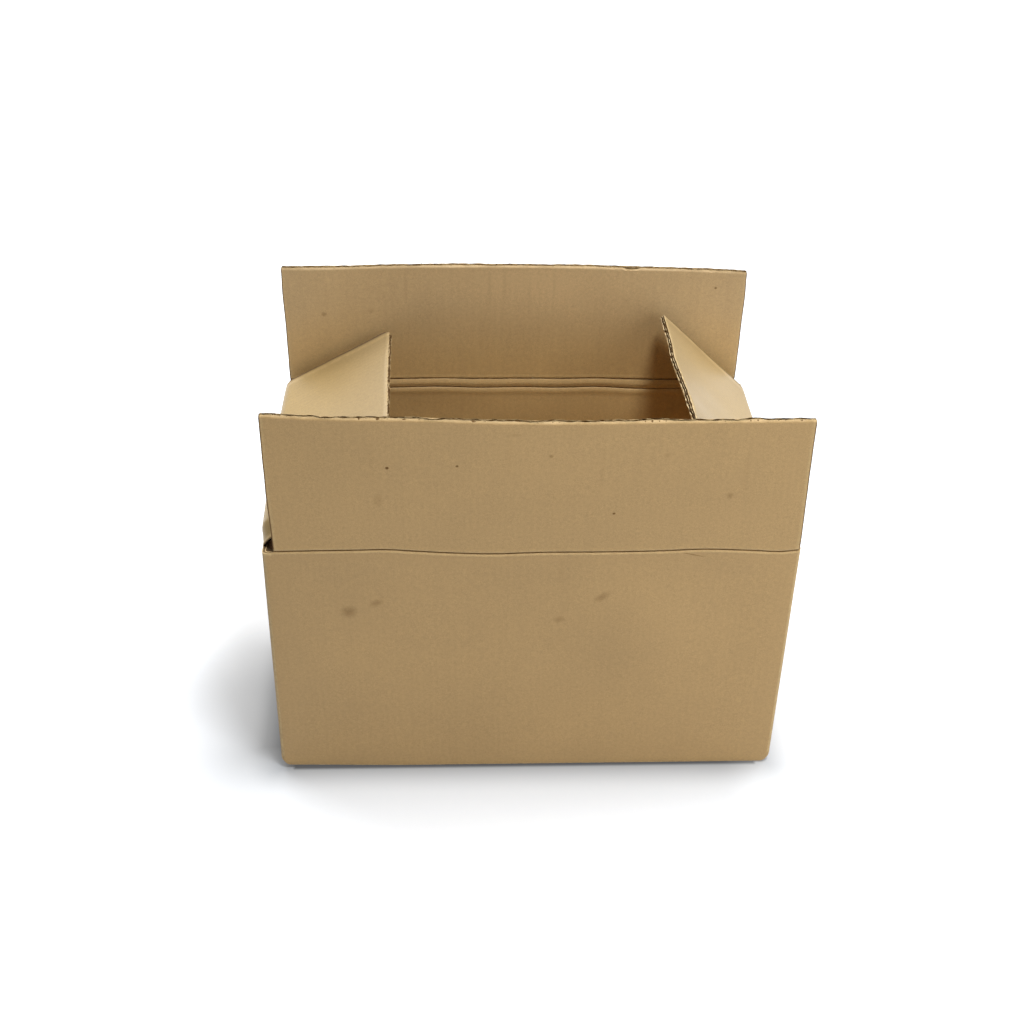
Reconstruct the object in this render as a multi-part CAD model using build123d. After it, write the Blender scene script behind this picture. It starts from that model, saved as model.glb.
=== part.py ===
"""An open carton of double wall corrugated board, standing on its base with its four top flaps up.

Origin: the middle of the base, on the floor. +Z is up, +X to the right, and -Y to the front.
"""
from build123d import *
import os
from math import cos, radians, sin, tan

# The carton, in millimetres
inner_length = 500.0  # between the left and right walls
inner_width = 300.0  # between the front and back walls
wall_height = 283.0  # from the floor to the top fold lines
board = 7.0  # the whole thickness of the board
fold_radius = 1.0  # inside a folded corner
seam_gap = 4.0  # between the two long flaps of the base
layer_gap = 0.3  # between the two layers of the base
base_short_reach = 150.0  # the short flaps of the base, in from the walls
base_slot_long = 4.0  # from the carton's ends to the ends of the long base flaps
base_slot_short = 3.5  # from the long walls to the edges of the short base flaps
glue_tab_width = 36.0  # the joint that closes the sleeve, inside the back wall

# The top flaps
long_flap_reach = 149.0  # front and back, from the fold line to the free edge
front_flap_length = 503.0
front_flap_shift = 3.5  # the slots stand off the corners, so the long flaps sit to one side
back_flap_length = 499.0
back_flap_shift = 7.0
back_flap_lean = 3.5  # degrees, inwards
short_flap_reach = 142.0  # left and right, along the board
short_flap_front_gap = 5.5  # from the front wall's inner face to a short flap's edge
short_flap_back_gap = 17.0
left_flap_slope = 29.0  # degrees above level
right_flap_slope = 42.5  # degrees above level
left_roll_radius = 15.0  # inside the soft bend above the fold line
right_roll_radius = 4.0
left_roll_start = 6.0  # straight board between the fold line and the bend
right_roll_start = 4.0
corner_wear = 2.5  # round of a flap's free corners

# Folds between the walls and the top flaps
hinge_offset = 0.3  # from the outer face out to the axis
fold_gap = 0.5  # between a wall's top edge and a flap's root
fold_play = 1.0  # degrees that a bevelled fold leaves free at the end of its travel
crease_offset = 5.0  # from the fold line to each pressed line
crease_width = 2.2
crease_depth = 0.9

# The edge of the board: two fluted layers between three liners
liner = 0.4
medium = 0.35
outer_flute_pitch = 6.4
inner_flute_pitch = 7.9
outer_flute_share = 0.43  # of the room between the liners
flute_depth = 6.0
flute_margin = 2.0  # plain board at each end of a row of flutes

outer_length = inner_length + 2 * board
outer_width = inner_width + 2 * board
fold_outer = fold_radius + board
short_base_level = board + layer_gap
short_wall_start = short_base_level + fold_outer


def block(x_range, y_range, z_range):
    """Solid between two corners."""
    size = [high - low for low, high in (x_range, y_range, z_range)]
    middle = [(high + low) / 2 for low, high in (x_range, y_range, z_range)]
    return Pos(*middle) * Box(*size)


def quarter_fold(x_sign, y_sign):
    """Section of a folded corner that bulges towards the given signs, about its own centre."""
    ring = Circle(fold_outer) - Circle(fold_radius)
    quarter = Pos(x_sign * fold_outer / 2, y_sign * fold_outer / 2) * Rectangle(fold_outer, fold_outer)
    return ring & quarter


def strip(x_range, y_range):
    """Rectangle between two corners."""
    middle = (sum(x_range) / 2, sum(y_range) / 2)
    return Pos(*middle) * Rectangle(x_range[1] - x_range[0], y_range[1] - y_range[0])


def wall_section():
    """Plan of the sleeve: one strip of board round four corners, closed by a glued tab."""
    x_out, y_out = outer_length / 2, outer_width / 2
    x_fold, y_fold = x_out - fold_outer, y_out - fold_outer
    tab_y = y_out - board
    front = strip((-x_fold, x_fold), (-y_out, -y_out + board))
    left = strip((-x_out, -x_out + board), (-y_fold, y_fold))
    back = strip((-x_fold, x_out - layer_gap), (tab_y, y_out))
    right = strip((x_out - board, x_out), (-y_fold, tab_y - fold_outer))
    tab_end = x_out - board - glue_tab_width
    tab = strip((tab_end, x_fold), (tab_y - board, tab_y))
    folds = [
        Pos(-x_fold, -y_fold) * quarter_fold(-1, -1),
        Pos(x_fold, -y_fold) * quarter_fold(1, -1),
        Pos(-x_fold, y_fold) * quarter_fold(-1, 1),
        Pos(x_fold, tab_y - fold_outer) * quarter_fold(1, 1),
    ]
    section = front + left + back + right + tab
    for fold in folds:
        section += fold
    return section


def base_panel(reach, level, start, lift, half_length):
    """A base flap with its fold and the foot of its wall, in the plane of Y and Z, run along X.

    The wall's outer face is at Y 0 and the flap runs towards +Y, with its underside at the level.
    """
    fold = Plane.YZ * Pos(fold_outer, level + fold_outer) * quarter_fold(-1, -1)
    flap = Plane.YZ * strip((fold_outer, reach), (level, level + board))
    profile = flap + fold
    if lift > start:
        profile += Plane.YZ * strip((0, board), (start, lift))
    panel = extrude(profile, half_length, both=True)
    return panel


def long_base_panels():
    """The outer layer of the base: two flaps that meet along the middle."""
    reach = (outer_width - seam_gap) / 2
    half_length = outer_length / 2 - base_slot_long
    panel = base_panel(reach, 0, fold_outer, short_wall_start, half_length)
    front = Pos(0, -outer_width / 2, 0) * panel
    back = Rot(0, 0, 180) * front
    return front, back


def short_base_panels():
    """The inner layer of the base: two flaps that lie on the long ones and don't meet."""
    reach = board + base_short_reach
    half_length = inner_width / 2 - base_slot_short
    panel = base_panel(reach, short_base_level, short_wall_start, short_wall_start, half_length)
    left = Rot(0, 0, -90) * Pos(0, -outer_length / 2, 0) * panel
    right = Rot(0, 0, 180) * left
    return left, right


def crease_line(length):
    """A pressed line with a round bottom, along X, for cutting into a face at Z 0."""
    bite = crease_width**2 / (8 * crease_depth) + crease_depth / 2
    return Pos(0, 0, bite - crease_depth) * Rot(0, 90, 0) * Cylinder(bite, length)


def bevel(length, angle):
    """Wedge under the plane Z 0 that lets a flap fold inwards by the angle, along X, from Y 0 inwards."""
    drop = board * tan(radians(angle))
    wedge = Plane.YZ * make_face(Polyline((0, 0), (board, 0), (board, -drop), close=True))
    return extrude(wedge, length / 2, both=True)


class FlapPlace:
    """Where a top flap stands: its side, its middle along the fold, its length and its travel."""

    def __init__(self, turn, wall, middle, length, inward):
        self.turn = turn
        self.wall = wall
        self.middle = middle
        self.length = length
        self.inward = inward

    def frame(self):
        """Frame on the wall's outer face at the fold line: X along the fold, Y inwards, Z up."""
        return Rot(0, 0, self.turn) * Pos(self.middle, -self.wall, wall_height)

    def relief(self):
        """Half of the angle that the fold has to leave free on its inner side."""
        return (self.inward + fold_play) / 2


short_flap_length = inner_width - short_flap_front_gap - short_flap_back_gap
short_flap_middle = (short_flap_front_gap - short_flap_back_gap) / 2

front_place = FlapPlace(0, outer_width / 2, front_flap_shift, front_flap_length, 0)
back_place = FlapPlace(180, outer_width / 2, back_flap_shift, back_flap_length, back_flap_lean)
left_place = FlapPlace(-90, outer_length / 2, -short_flap_middle, short_flap_length, left_flap_slope)
right_place = FlapPlace(90, outer_length / 2, short_flap_middle, short_flap_length, right_flap_slope)


def make_carton():
    """The folded sleeve with its closed base."""
    sleeve_height = wall_height - fold_gap / 2 - short_wall_start
    carton = Pos(0, 0, short_wall_start) * extrude(wall_section(), sleeve_height)
    for panel in (*long_base_panels(), *short_base_panels()):
        carton += panel
    for place in (front_place, back_place, left_place, right_place):
        top_edge = place.frame() * Pos(0, 0, -fold_gap / 2)
        carton -= top_edge * bevel(place.length, place.relief())
        inner_face = place.frame() * Pos(0, board, -crease_offset) * Rot(90, 0, 0)
        carton -= inner_face * crease_line(place.length)
    return carton


def flute_row(length, level, height, pitch):
    """Openings of one fluted layer in the plane of X and Y, on both sides of its wave."""
    waves = int((length - 2 * flute_margin) / pitch)
    start = -waves * pitch / 2
    half_base = pitch / 2 - medium
    depth = height - medium
    openings = []
    for wave in range(waves):
        middle = start + (wave + 0.5) * pitch
        openings.append([(middle - half_base, level), (middle + half_base, level), (middle, level + depth)])
        if wave < waves - 1:
            crest = middle + pitch / 2
            top = level + height
            openings.append([(crest + half_base, top), (crest - half_base, top), (crest, top - depth)])
    return openings


def flute_openings(length):
    """Openings of both fluted layers, from the outer face at Y 0 inwards."""
    room = board - 3 * liner
    outer_height = room * outer_flute_share
    inner_height = room - outer_height
    openings = flute_row(length, liner, outer_height, outer_flute_pitch)
    openings += flute_row(length, 2 * liner + outer_height, inner_height, inner_flute_pitch)
    return openings


def fluted_edge(length):
    """The last stretch of a flap, with its flutes open at the cut edge, from Z 0 up."""
    outline = Wire.make_polygon([(-length / 2, 0), (length / 2, 0), (length / 2, board), (-length / 2, board)])
    holes = [Wire.make_polygon(points) for points in flute_openings(length)]
    return extrude(Face(outline, holes), flute_depth)


def worn_corners(length, reach):
    """What the two free corners of a flap have lost, for cutting from a flap whose edge is at the reach."""
    worn = None
    for side in (-1, 1):
        corner = block((0, corner_wear), (0, board), (0, corner_wear))
        corner -= Pos(0, board / 2, 0) * Rot(90, 0, 0) * Cylinder(corner_wear, board)
        turned = corner if side > 0 else mirror(corner, Plane.YZ)
        placed = Pos(side * (length / 2 - corner_wear), 0, reach - corner_wear) * turned
        worn = placed if worn is None else worn + placed
    return worn


def straight_profile(reach, relief):
    """Side view of a straight flap, in the plane of Y and Z, with its root bevelled on the inner side."""
    root = fold_gap / 2
    rise = board * tan(radians(relief))
    return Polyline((0, root), (0, reach), (board, reach), (board, root + rise), close=True)


def make_long_flap(place):
    """The front or back flap, upright at its fold."""
    plain_reach = long_flap_reach - flute_depth
    profile = Plane.YZ * make_face(straight_profile(plain_reach, place.relief()))
    flap = extrude(profile, place.length / 2, both=True)
    flap -= Pos(0, board, crease_offset) * Rot(90, 0, 0) * crease_line(place.length)
    flap += Pos(0, 0, plain_reach) * fluted_edge(place.length)
    flap -= worn_corners(place.length, long_flap_reach)
    return flap


def make_short_flap(place, slope, roll_start, roll_radius):
    """The left or right flap: a soft bend above the fold line, and then a flat panel."""
    bend = 90 - slope
    relief = place.relief()
    root = fold_gap / 2
    rise = board * tan(radians(relief))
    middle_radius = roll_radius + board / 2
    run = short_flap_reach - flute_depth - roll_start - middle_radius * radians(bend)
    outer_foot = Line((0, root), (0, roll_start))
    outer_roll = JernArc(outer_foot @ 1, (0, 1), roll_radius + board, -bend)
    outer_run = Line(outer_roll @ 1, (outer_roll @ 1) + (outer_roll % 1) * run)
    inner_foot = Line((board, root + rise), (board, roll_start))
    inner_roll = JernArc(inner_foot @ 1, (0, 1), roll_radius, -bend)
    inner_run = Line(inner_roll @ 1, (inner_roll @ 1) + (inner_roll % 1) * run)
    tip = Line(outer_run @ 1, inner_run @ 1)
    sole = Line(inner_foot @ 0, outer_foot @ 0)
    outline = Curve() + [outer_foot, outer_roll, outer_run, tip, inner_run, inner_roll, inner_foot, sole]
    flap = extrude(Plane.YZ * make_face(outline), place.length / 2, both=True)
    edge = outer_run @ 1
    panel_end = Pos(0, edge.X, edge.Y) * Rot(-bend, 0, 0)
    tip_piece = fluted_edge(place.length) - worn_corners(place.length, flute_depth)
    return flap + panel_end * tip_piece


def lean(place, angle):
    """Turn inwards about the hinge axis, which lies just outside the wall."""
    return place.frame() * Pos(0, -hinge_offset, 0) * Rot(-angle, 0, 0) * Pos(0, hinge_offset, 0)


def make_parts():
    """Every piece, by name, where it stands with the carton open."""
    left = make_short_flap(left_place, left_flap_slope, left_roll_start, left_roll_radius)
    right = make_short_flap(right_place, right_flap_slope, right_roll_start, right_roll_radius)
    return {
        "carton": make_carton(),
        "front_flap": lean(front_place, 0) * make_long_flap(front_place),
        "back_flap": lean(back_place, back_flap_lean) * make_long_flap(back_place),
        "left_flap": left_place.frame() * left,
        "right_flap": right_place.frame() * right,
    }


os.makedirs("parts", exist_ok=True)
for name, solid in make_parts().items():
    export_step(solid, f"parts/{name}.step")
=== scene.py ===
"""Looks of an open carton of double wall board: sleeve, base, four top flaps and a plain studio.

Lengths are in millimetres until a mesh or a shader is made from them, and in metres from there on.
"""
from __future__ import annotations

import logging
import math
from dataclasses import dataclass, field
from enum import Enum

import bpy
import numpy as np
from mathutils import Matrix, Vector

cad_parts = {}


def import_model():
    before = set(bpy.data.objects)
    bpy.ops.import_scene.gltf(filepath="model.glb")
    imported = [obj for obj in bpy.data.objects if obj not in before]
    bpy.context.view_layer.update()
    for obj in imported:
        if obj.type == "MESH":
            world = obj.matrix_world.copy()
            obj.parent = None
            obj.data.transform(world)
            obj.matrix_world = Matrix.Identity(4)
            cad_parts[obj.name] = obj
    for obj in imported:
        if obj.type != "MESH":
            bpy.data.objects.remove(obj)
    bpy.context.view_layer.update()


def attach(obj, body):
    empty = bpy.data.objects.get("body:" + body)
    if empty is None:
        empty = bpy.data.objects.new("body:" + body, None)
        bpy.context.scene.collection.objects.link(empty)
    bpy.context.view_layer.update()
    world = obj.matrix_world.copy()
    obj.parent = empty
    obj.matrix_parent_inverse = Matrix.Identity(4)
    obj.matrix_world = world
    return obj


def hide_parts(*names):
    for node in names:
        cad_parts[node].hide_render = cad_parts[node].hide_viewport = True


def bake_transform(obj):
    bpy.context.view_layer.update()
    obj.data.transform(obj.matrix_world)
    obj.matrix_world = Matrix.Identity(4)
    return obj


LOG = logging.getLogger("carton")
MM = 0.001
TURN = 2 * math.pi

Pair = tuple[float, float]
Triple = tuple[float, float, float]
Socket = bpy.types.NodeSocket

# Colours of the papers
KRAFT_OUT = (0.402, 0.261, 0.108)
# The short flaps' outer liner, coloured apart from the walls' same liner for how the flaps take the light,
# and the brighter colour it turns into towards the roots: painted light
KRAFT_SHORT = (0.350, 0.250, 0.120)
KRAFT_SHORT_ROOT = (0.400, 0.271, 0.099)
# The inner liners, brighter than the outer one to make up for the light that the carton's inside lacks, the
# back flap's brighter still: painted light
KRAFT_IN = (0.472, 0.307, 0.123)
KRAFT_BACK = (0.491, 0.323, 0.132)
# The back flap's inner liner turns into this less saturated colour towards its top: painted light and shade
KRAFT_BACK_TOP = (0.448, 0.314, 0.156)
# Pale paper for scuffed edges, also used as painted highlight beside creases and folds
KRAFT_WORN_AND_HIGHLIT = (0.53, 0.38, 0.18)
LINER_RIM = (0.50, 0.37, 0.19)
LINER_RIM_PALE = (0.68, 0.53, 0.31)
FLUTING = (0.15, 0.085, 0.034)
FLUTING_PALE = (0.28, 0.18, 0.08)
# Painted shade in the open hollows between the flutes of a cut edge
HOLLOW_SHADE = (0.09, 0.055, 0.025)
# Dark paper for grime, and for painted shade in creases, at folds and along edges
GRIME_AND_SHADE = (0.075, 0.036, 0.012)
STAIN = (0.115, 0.052, 0.010)
# Painted black shade, in the slot at the left front corner and at the foot of the left flap's front end
SHADE_BLACK = (0.02, 0.011, 0.005)


class Finish(Enum):
    """The papers of the board, by the order of a sheet's material slots."""

    OUTSIDE = 0
    INSIDE = 1
    EDGE = 2
    MEDIUM = 3


Finishes = dict[Finish, bpy.types.Material]


def smooth(value: np.ndarray) -> np.ndarray:
    """Smooth step from 0 to 1 of a value that is clipped to that range."""
    share = np.clip(value, 0.0, 1.0)
    return share * share * (3.0 - 2.0 * share)


def bump(value: np.ndarray, middle: float, spread: float) -> np.ndarray:
    """Round hump of height 1 about its middle."""
    return np.exp(-(((value - middle) / spread) ** 2))


def pressed_line(distance: np.ndarray, bead: float) -> np.ndarray:
    """How deep the outer paper is pressed in beside a fold, with a bead of some height next to that."""
    return 1.7 * bump(distance, 0.0, 0.5) + 0.4 * bump(distance, 0.0, 1.6) - bead * bump(distance, 2.6, 1.3)


def rounded(value: np.ndarray, radius: float) -> np.ndarray:
    """How far a quarter round stands back, where the value goes from 0 at its start to 1 at its end."""
    return radius * (1 - np.sqrt(1 - np.clip(value, 0, 1) ** 2))


def travelled(*axes: np.ndarray) -> np.ndarray:
    """Distance covered at each point of a line, from its first point."""
    steps = np.sqrt(sum(np.diff(axis) ** 2 for axis in axes))
    return np.concatenate([[0.0], np.cumsum(steps)])


def cells(grid: np.ndarray) -> np.ndarray:
    """Corners of each cell of a grid, in the order of an outward face."""
    corners = np.stack([grid[:-1, :-1], grid[1:, :-1], grid[1:, 1:], grid[:-1, 1:]], axis=2)
    return corners.reshape((-1, 4) + grid.shape[2:])


def carry(mesh: bpy.types.Mesh, name: str, values: np.ndarray) -> None:
    """Give each point of a mesh a number."""
    attribute = mesh.attributes.new(name, "FLOAT", "POINT")
    attribute.data.foreach_set("value", values.astype(np.float32).ravel())


def placed(name: str, data: bpy.types.ID) -> bpy.types.Object:
    """A new object in the scene."""
    thing = bpy.data.objects.new(name, data)
    bpy.context.scene.collection.objects.link(thing)
    return thing


def rgba(colour: Triple) -> tuple[float, float, float, float]:
    """A colour with full opacity."""
    return (*colour, 1.0)


@dataclass(frozen=True)
class Waviness:
    """Soft random height over a sheet, the same on every run.

    Attributes:
        seed: Picks the pattern.
        size: Length of its largest waves.
        height: About the most that it departs from zero.
        octaves: How many layers there are, each finer and half as high as the one before.
    """

    WAVES = 5  # in each layer

    seed: int
    size: float
    height: float
    octaves: int = 2

    def at(self, along: np.ndarray, up: np.ndarray | float = 0.0) -> np.ndarray:
        """Height at places on the sheet, given by two coordinates."""
        random = np.random.default_rng(self.seed)
        total = np.zeros(np.broadcast(along, up).shape)
        for octave in range(self.octaves):
            for _ in range(self.WAVES):
                heading = random.uniform(0, TURN)
                wave = TURN / (self.size * random.uniform(0.7, 1.5) / 2**octave)
                phase = random.uniform(0, TURN)
                reach = along * math.cos(heading) + up * math.sin(heading)
                total = total + 0.5**octave * np.sin(wave * reach + phase)
        return self.height * total * 2 / self.WAVES


@dataclass(frozen=True)
class Line:
    """A smooth line of heights through a few named places.

    Attributes:
        places: Pairs of position and height, in order of position.
    """

    places: tuple[Pair, ...] = ((0.0, 0.0), (1.0, 0.0))

    def at(self, position: np.ndarray) -> np.ndarray:
        """Height at each position, level beyond the first and last place."""
        x, y = np.array(self.places).T
        slope = np.gradient(y, x)
        spot = np.clip(position, x[0], x[-1])
        index = np.clip(np.searchsorted(x, spot) - 1, 0, len(x) - 2)
        width = x[index + 1] - x[index]
        share = (spot - x[index]) / width
        square, cube = share**2, share**3
        low = (2 * cube - 3 * square + 1) * y[index] + (3 * square - 2 * cube) * y[index + 1]
        turn = (cube - 2 * square + share) * slope[index] + (cube - square) * slope[index + 1]
        return low + width * turn

    def mirrored(self) -> Line:
        """The same line with its positions running the other way."""
        return Line(tuple((-place, height) for place, height in reversed(self.places)))


@dataclass(frozen=True)
class Gauge:
    """Thickness of the board and of its layers, from the outer liner at 0 inwards."""

    board: float = 7.0
    liner: float = 0.45
    medium: float = 0.35
    outer_pitch: float = 6.4
    inner_pitch: float = 7.9
    outer_share: float = 0.43
    recess: float = 6.0

    @property
    def room(self) -> float:
        """Height of both fluted layers together."""
        return self.board - 3 * self.liner

    @property
    def outer_flute(self) -> Pair:
        """Depth of the outer fluted layer, from and to."""
        return self.liner, self.liner + self.room * self.outer_share

    @property
    def inner_flute(self) -> Pair:
        """Depth of the inner fluted layer, from and to."""
        return self.outer_flute[1] + self.liner, self.board - self.liner


@dataclass(frozen=True)
class Racking:
    """How far the carton's sides stand out of true, as on any box that has been in use.

    Attributes:
        right: Shift of the right side along X, by its place along Y, at the fold lines and above.
        left: The same for the left side.
        flare: Shift of the right front corner, from the floor up to the fold line.
        flap_flare: The same at the front flap's free edge.
        level: Height of the fold lines.
        foot: Radius to which the four corners at the floor are crushed.
        lifted: How far the left front corner stands off the floor.
        half: Half the carton's length and half its width.
    """

    SIDE = 140.0  # distance from the middle along X at which a side is shifted in full
    FLARE_FROM = 90.0  # distance to the front at which the flare begins
    FLARE_OVER = 60.0  # distance over which it grows
    FLAP_REACH = 149.0  # length of the front flap
    CRUSH_OVER = (26.0, 60.0)  # distances along X and Y over which a crushed corner fades
    LIFT_FROM = (120.0, 110.0)  # distances to the left and to the front at which the lift begins
    LIFT_OVER = (130.0, 40.0)  # distances over which it grows
    LIFT_UP_TO = 60.0  # height at which it is gone

    right: Line = Line((
        (-157.0, 0.0), (-144.0, -0.4), (-100.0, -2.4), (-60.0, -3.9), (-6.0, -4.5), (60.0, -4.9),
        (115.0, -5.3), (140.0, -5.3), (157.0, -5.3),
    ))
    left: Line = Line((
        (-157.0, -0.6), (-144.0, -0.9), (-60.0, -2.4), (0.0, -3.0), (80.0, -2.4), (133.0, -1.2), (157.0, 0.0),
    ))
    flare: float = 2.8
    flap_flare: float = 0.9
    level: float = 283.0
    foot: float = 12.0
    lifted: float = 2.4
    half: Pair = (257.0, 157.0)

    def moved(self, points: np.ndarray) -> np.ndarray:
        """The points of a true carton, moved to where they are on this one."""
        x, y, z = points[..., 0], points[..., 1], points[..., 2]
        high = smooth(z / self.level)
        front = smooth((-y - self.FLARE_FROM) / self.FLARE_OVER)
        flare = self.flare + (self.flap_flare - self.flare) * smooth((z - self.level) / self.FLAP_REACH)
        right = smooth(x / self.SIDE) * (self.right.at(y) * high + flare * front)
        left = smooth(-x / self.SIDE) * self.left.at(y) * high
        near = lifting = 1.0
        for place, half, fade, start, grow in zip(
            (x, y), self.half, self.CRUSH_OVER, self.LIFT_FROM, self.LIFT_OVER,
        ):
            near = near * smooth((np.abs(place) - half) / fade + 1)
            lifting = lifting * smooth((-place - start) / grow)
        crushed = rounded(1 - z / self.foot, self.foot) * near
        bent = self.lifted * lifting * smooth(1 - z / self.LIFT_UP_TO)
        return np.stack([x + right + left - np.sign(x) * crushed, y, z + bent], axis=-1)


GAUGE = Gauge()
RACKING = Racking()


@dataclass
class Slab:
    """A closed piece of paper or board between two surfaces with the same grid.

    Attributes:
        near: Points of the outer surface, by column, row and axis.
        far: Points of the inner surface.
        run: Distance along the fold of each grid point.
        rise: Distance up the flutes of each grid point.
        wear_and_shading: Above 0 paler, for scuffs and painted highlights; below 0 darker, for grime and
            painted shade; -2 painted black shade.
        papers: Paper of the outer surface, the inner surface and the cut edges.
        thickness: Depth that the cut edges show.
        far_wear_and_shading: The same for the inner surface, where that differs, as in a slot with painted
            black shade.
    """

    near: np.ndarray
    far: np.ndarray
    run: np.ndarray
    rise: np.ndarray
    wear_and_shading: np.ndarray
    papers: tuple[Finish, Finish, Finish] = (Finish.OUTSIDE, Finish.INSIDE, Finish.EDGE)
    thickness: float = GAUGE.board
    far_wear_and_shading: np.ndarray | None = None


class Sheet:
    """Collects slabs and makes them one mesh with a map of the board and an attribute for scuffs, grime and
    painted light and shade.
    """

    SHARP = 48  # degrees between two faces from which their edge is sharp

    def __init__(self, name: str, finishes: Finishes) -> None:
        """Start an empty sheet with a name and the material of each paper."""
        self.name = name
        self.finishes = finishes
        self.points: list[np.ndarray] = []
        self.wear_and_shading: list[np.ndarray] = []
        self.faces: list[np.ndarray] = []
        self.maps: list[np.ndarray] = []
        self.papers: list[np.ndarray] = []
        self.count = 0

    def add(self, slab: Slab) -> None:
        """Add a slab, with its two surfaces and the four rims between them."""
        columns, rows = slab.run.shape
        near = self.count + np.arange(columns * rows).reshape(columns, rows)
        far = near + columns * rows
        self.count += 2 * columns * rows
        self.points += [slab.near.reshape(-1, 3), slab.far.reshape(-1, 3)]
        far_wear_and_shading = slab.wear_and_shading if slab.far_wear_and_shading is None else slab.far_wear_and_shading
        self.wear_and_shading += [slab.wear_and_shading.reshape(-1), far_wear_and_shading.reshape(-1)]
        flat = cells(np.stack([slab.run, slab.rise], axis=-1))
        self._quads(cells(near), flat, slab.papers[0])
        self._quads(cells(far)[:, ::-1], flat[:, ::-1], slab.papers[1])
        self._rim(near[:, 0], far[:, 0], slab.run[:, 0], slab, True)
        self._rim(near[:, -1], far[:, -1], slab.run[:, -1], slab, False)
        self._rim(near[0], far[0], slab.rise[0], slab, False)
        self._rim(near[-1], far[-1], slab.rise[-1], slab, True)

    def _rim(self, near: np.ndarray, far: np.ndarray, along: np.ndarray, slab: Slab, turned: bool) -> None:
        """Close a slab along one side.

        Args:
            near: Outer points along the side.
            far: Inner points along the side.
            along: Distance of each point along the side.
            slab: The slab that is closed.
            turned: Whether the faces run the other way round.
        """
        quads = np.stack([near[:-1], near[1:], far[1:], far[:-1]], axis=1)
        spots = np.stack([along[:-1], along[1:], along[1:], along[:-1]], axis=1)
        depths = np.broadcast_to([0.0, 0.0, slab.thickness, slab.thickness], spots.shape)
        spread = np.stack([spots, depths], axis=-1)
        if turned:
            quads, spread = quads[:, ::-1], spread[:, ::-1]
        self._quads(quads, spread, slab.papers[2])

    def _quads(self, quads: np.ndarray, spread: np.ndarray, finish: Finish) -> None:
        """Keep faces with their map and their paper."""
        self.faces.append(quads)
        self.maps.append(spread)
        self.papers.append(np.full(len(quads), finish.value))

    def build(self) -> bpy.types.Object:
        """Make the object, with smooth faces and sharp cut edges."""
        mesh = bpy.data.meshes.new(self.name)
        points = RACKING.moved(np.concatenate(self.points)) * MM
        mesh.from_pydata(points.tolist(), [], np.concatenate(self.faces).tolist())
        for finish in Finish:
            mesh.materials.append(self.finishes[finish])
        mesh.polygons.foreach_set("material_index", np.concatenate(self.papers).astype(np.int32))
        chart = mesh.uv_layers.new(name="board")
        chart.data.foreach_set("uv", (np.concatenate(self.maps) * MM).astype(np.float32).ravel())
        carry(mesh, "wear_and_shading", np.concatenate(self.wear_and_shading))
        mesh.shade_smooth()
        mesh.set_sharp_from_angle(angle=math.radians(self.SHARP))
        mesh.update()
        return placed(self.name, mesh)


class Value:
    """A number in a node tree that Python's operators work on; each one adds a Math node."""

    def __init__(self, nodes: Nodes, socket: Socket) -> None:
        """Wrap an output of a tree."""
        self.nodes = nodes
        self.socket = socket

    def _math(self, operation: str, *terms: Value | float) -> Value:
        """Add a Math node for an operation on some terms."""
        return self.nodes.value("ShaderNodeMath", {"operation": operation}, dict(enumerate(terms)))

    def __add__(self, other: Value | float) -> Value:
        """Sum."""
        return self._math("ADD", self, other)

    __radd__ = __add__

    def __sub__(self, other: Value | float) -> Value:
        """Difference."""
        return self._math("SUBTRACT", self, other)

    def __rsub__(self, other: float) -> Value:
        """Difference from a number."""
        return self._math("SUBTRACT", other, self)

    def __mul__(self, other: Value | float) -> Value:
        """Product."""
        return self._math("MULTIPLY", self, other)

    def __truediv__(self, other: Value | float) -> Value:
        """Quotient."""
        return self._math("DIVIDE", self, other)

    def __pow__(self, other: float) -> Value:
        """Power."""
        return self._math("POWER", self, other)

    def __lt__(self, other: float) -> Value:
        """1 where it is less, and 0 elsewhere."""
        return self._math("LESS_THAN", self, other)

    def sine(self) -> Value:
        """Sine."""
        return self._math("SINE", self)

    def size(self) -> Value:
        """The number without its sign."""
        return self._math("ABSOLUTE", self)

    def most(self, other: Value | float) -> Value:
        """The larger of two."""
        return self._math("MAXIMUM", self, other)

    def least(self, other: Value | float) -> Value:
        """The smaller of two."""
        return self._math("MINIMUM", self, other)

    def ramp(self, low: float, high: float, start: float = 0.0, end: float = 1.0) -> Value:
        """Smooth change from start to end while the number goes from low to high."""
        limits = {"Value": self, "From Min": low, "From Max": high, "To Min": start, "To Max": end}
        return self.nodes.value("ShaderNodeMapRange", {"interpolation_type": "SMOOTHSTEP"}, limits)


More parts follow.
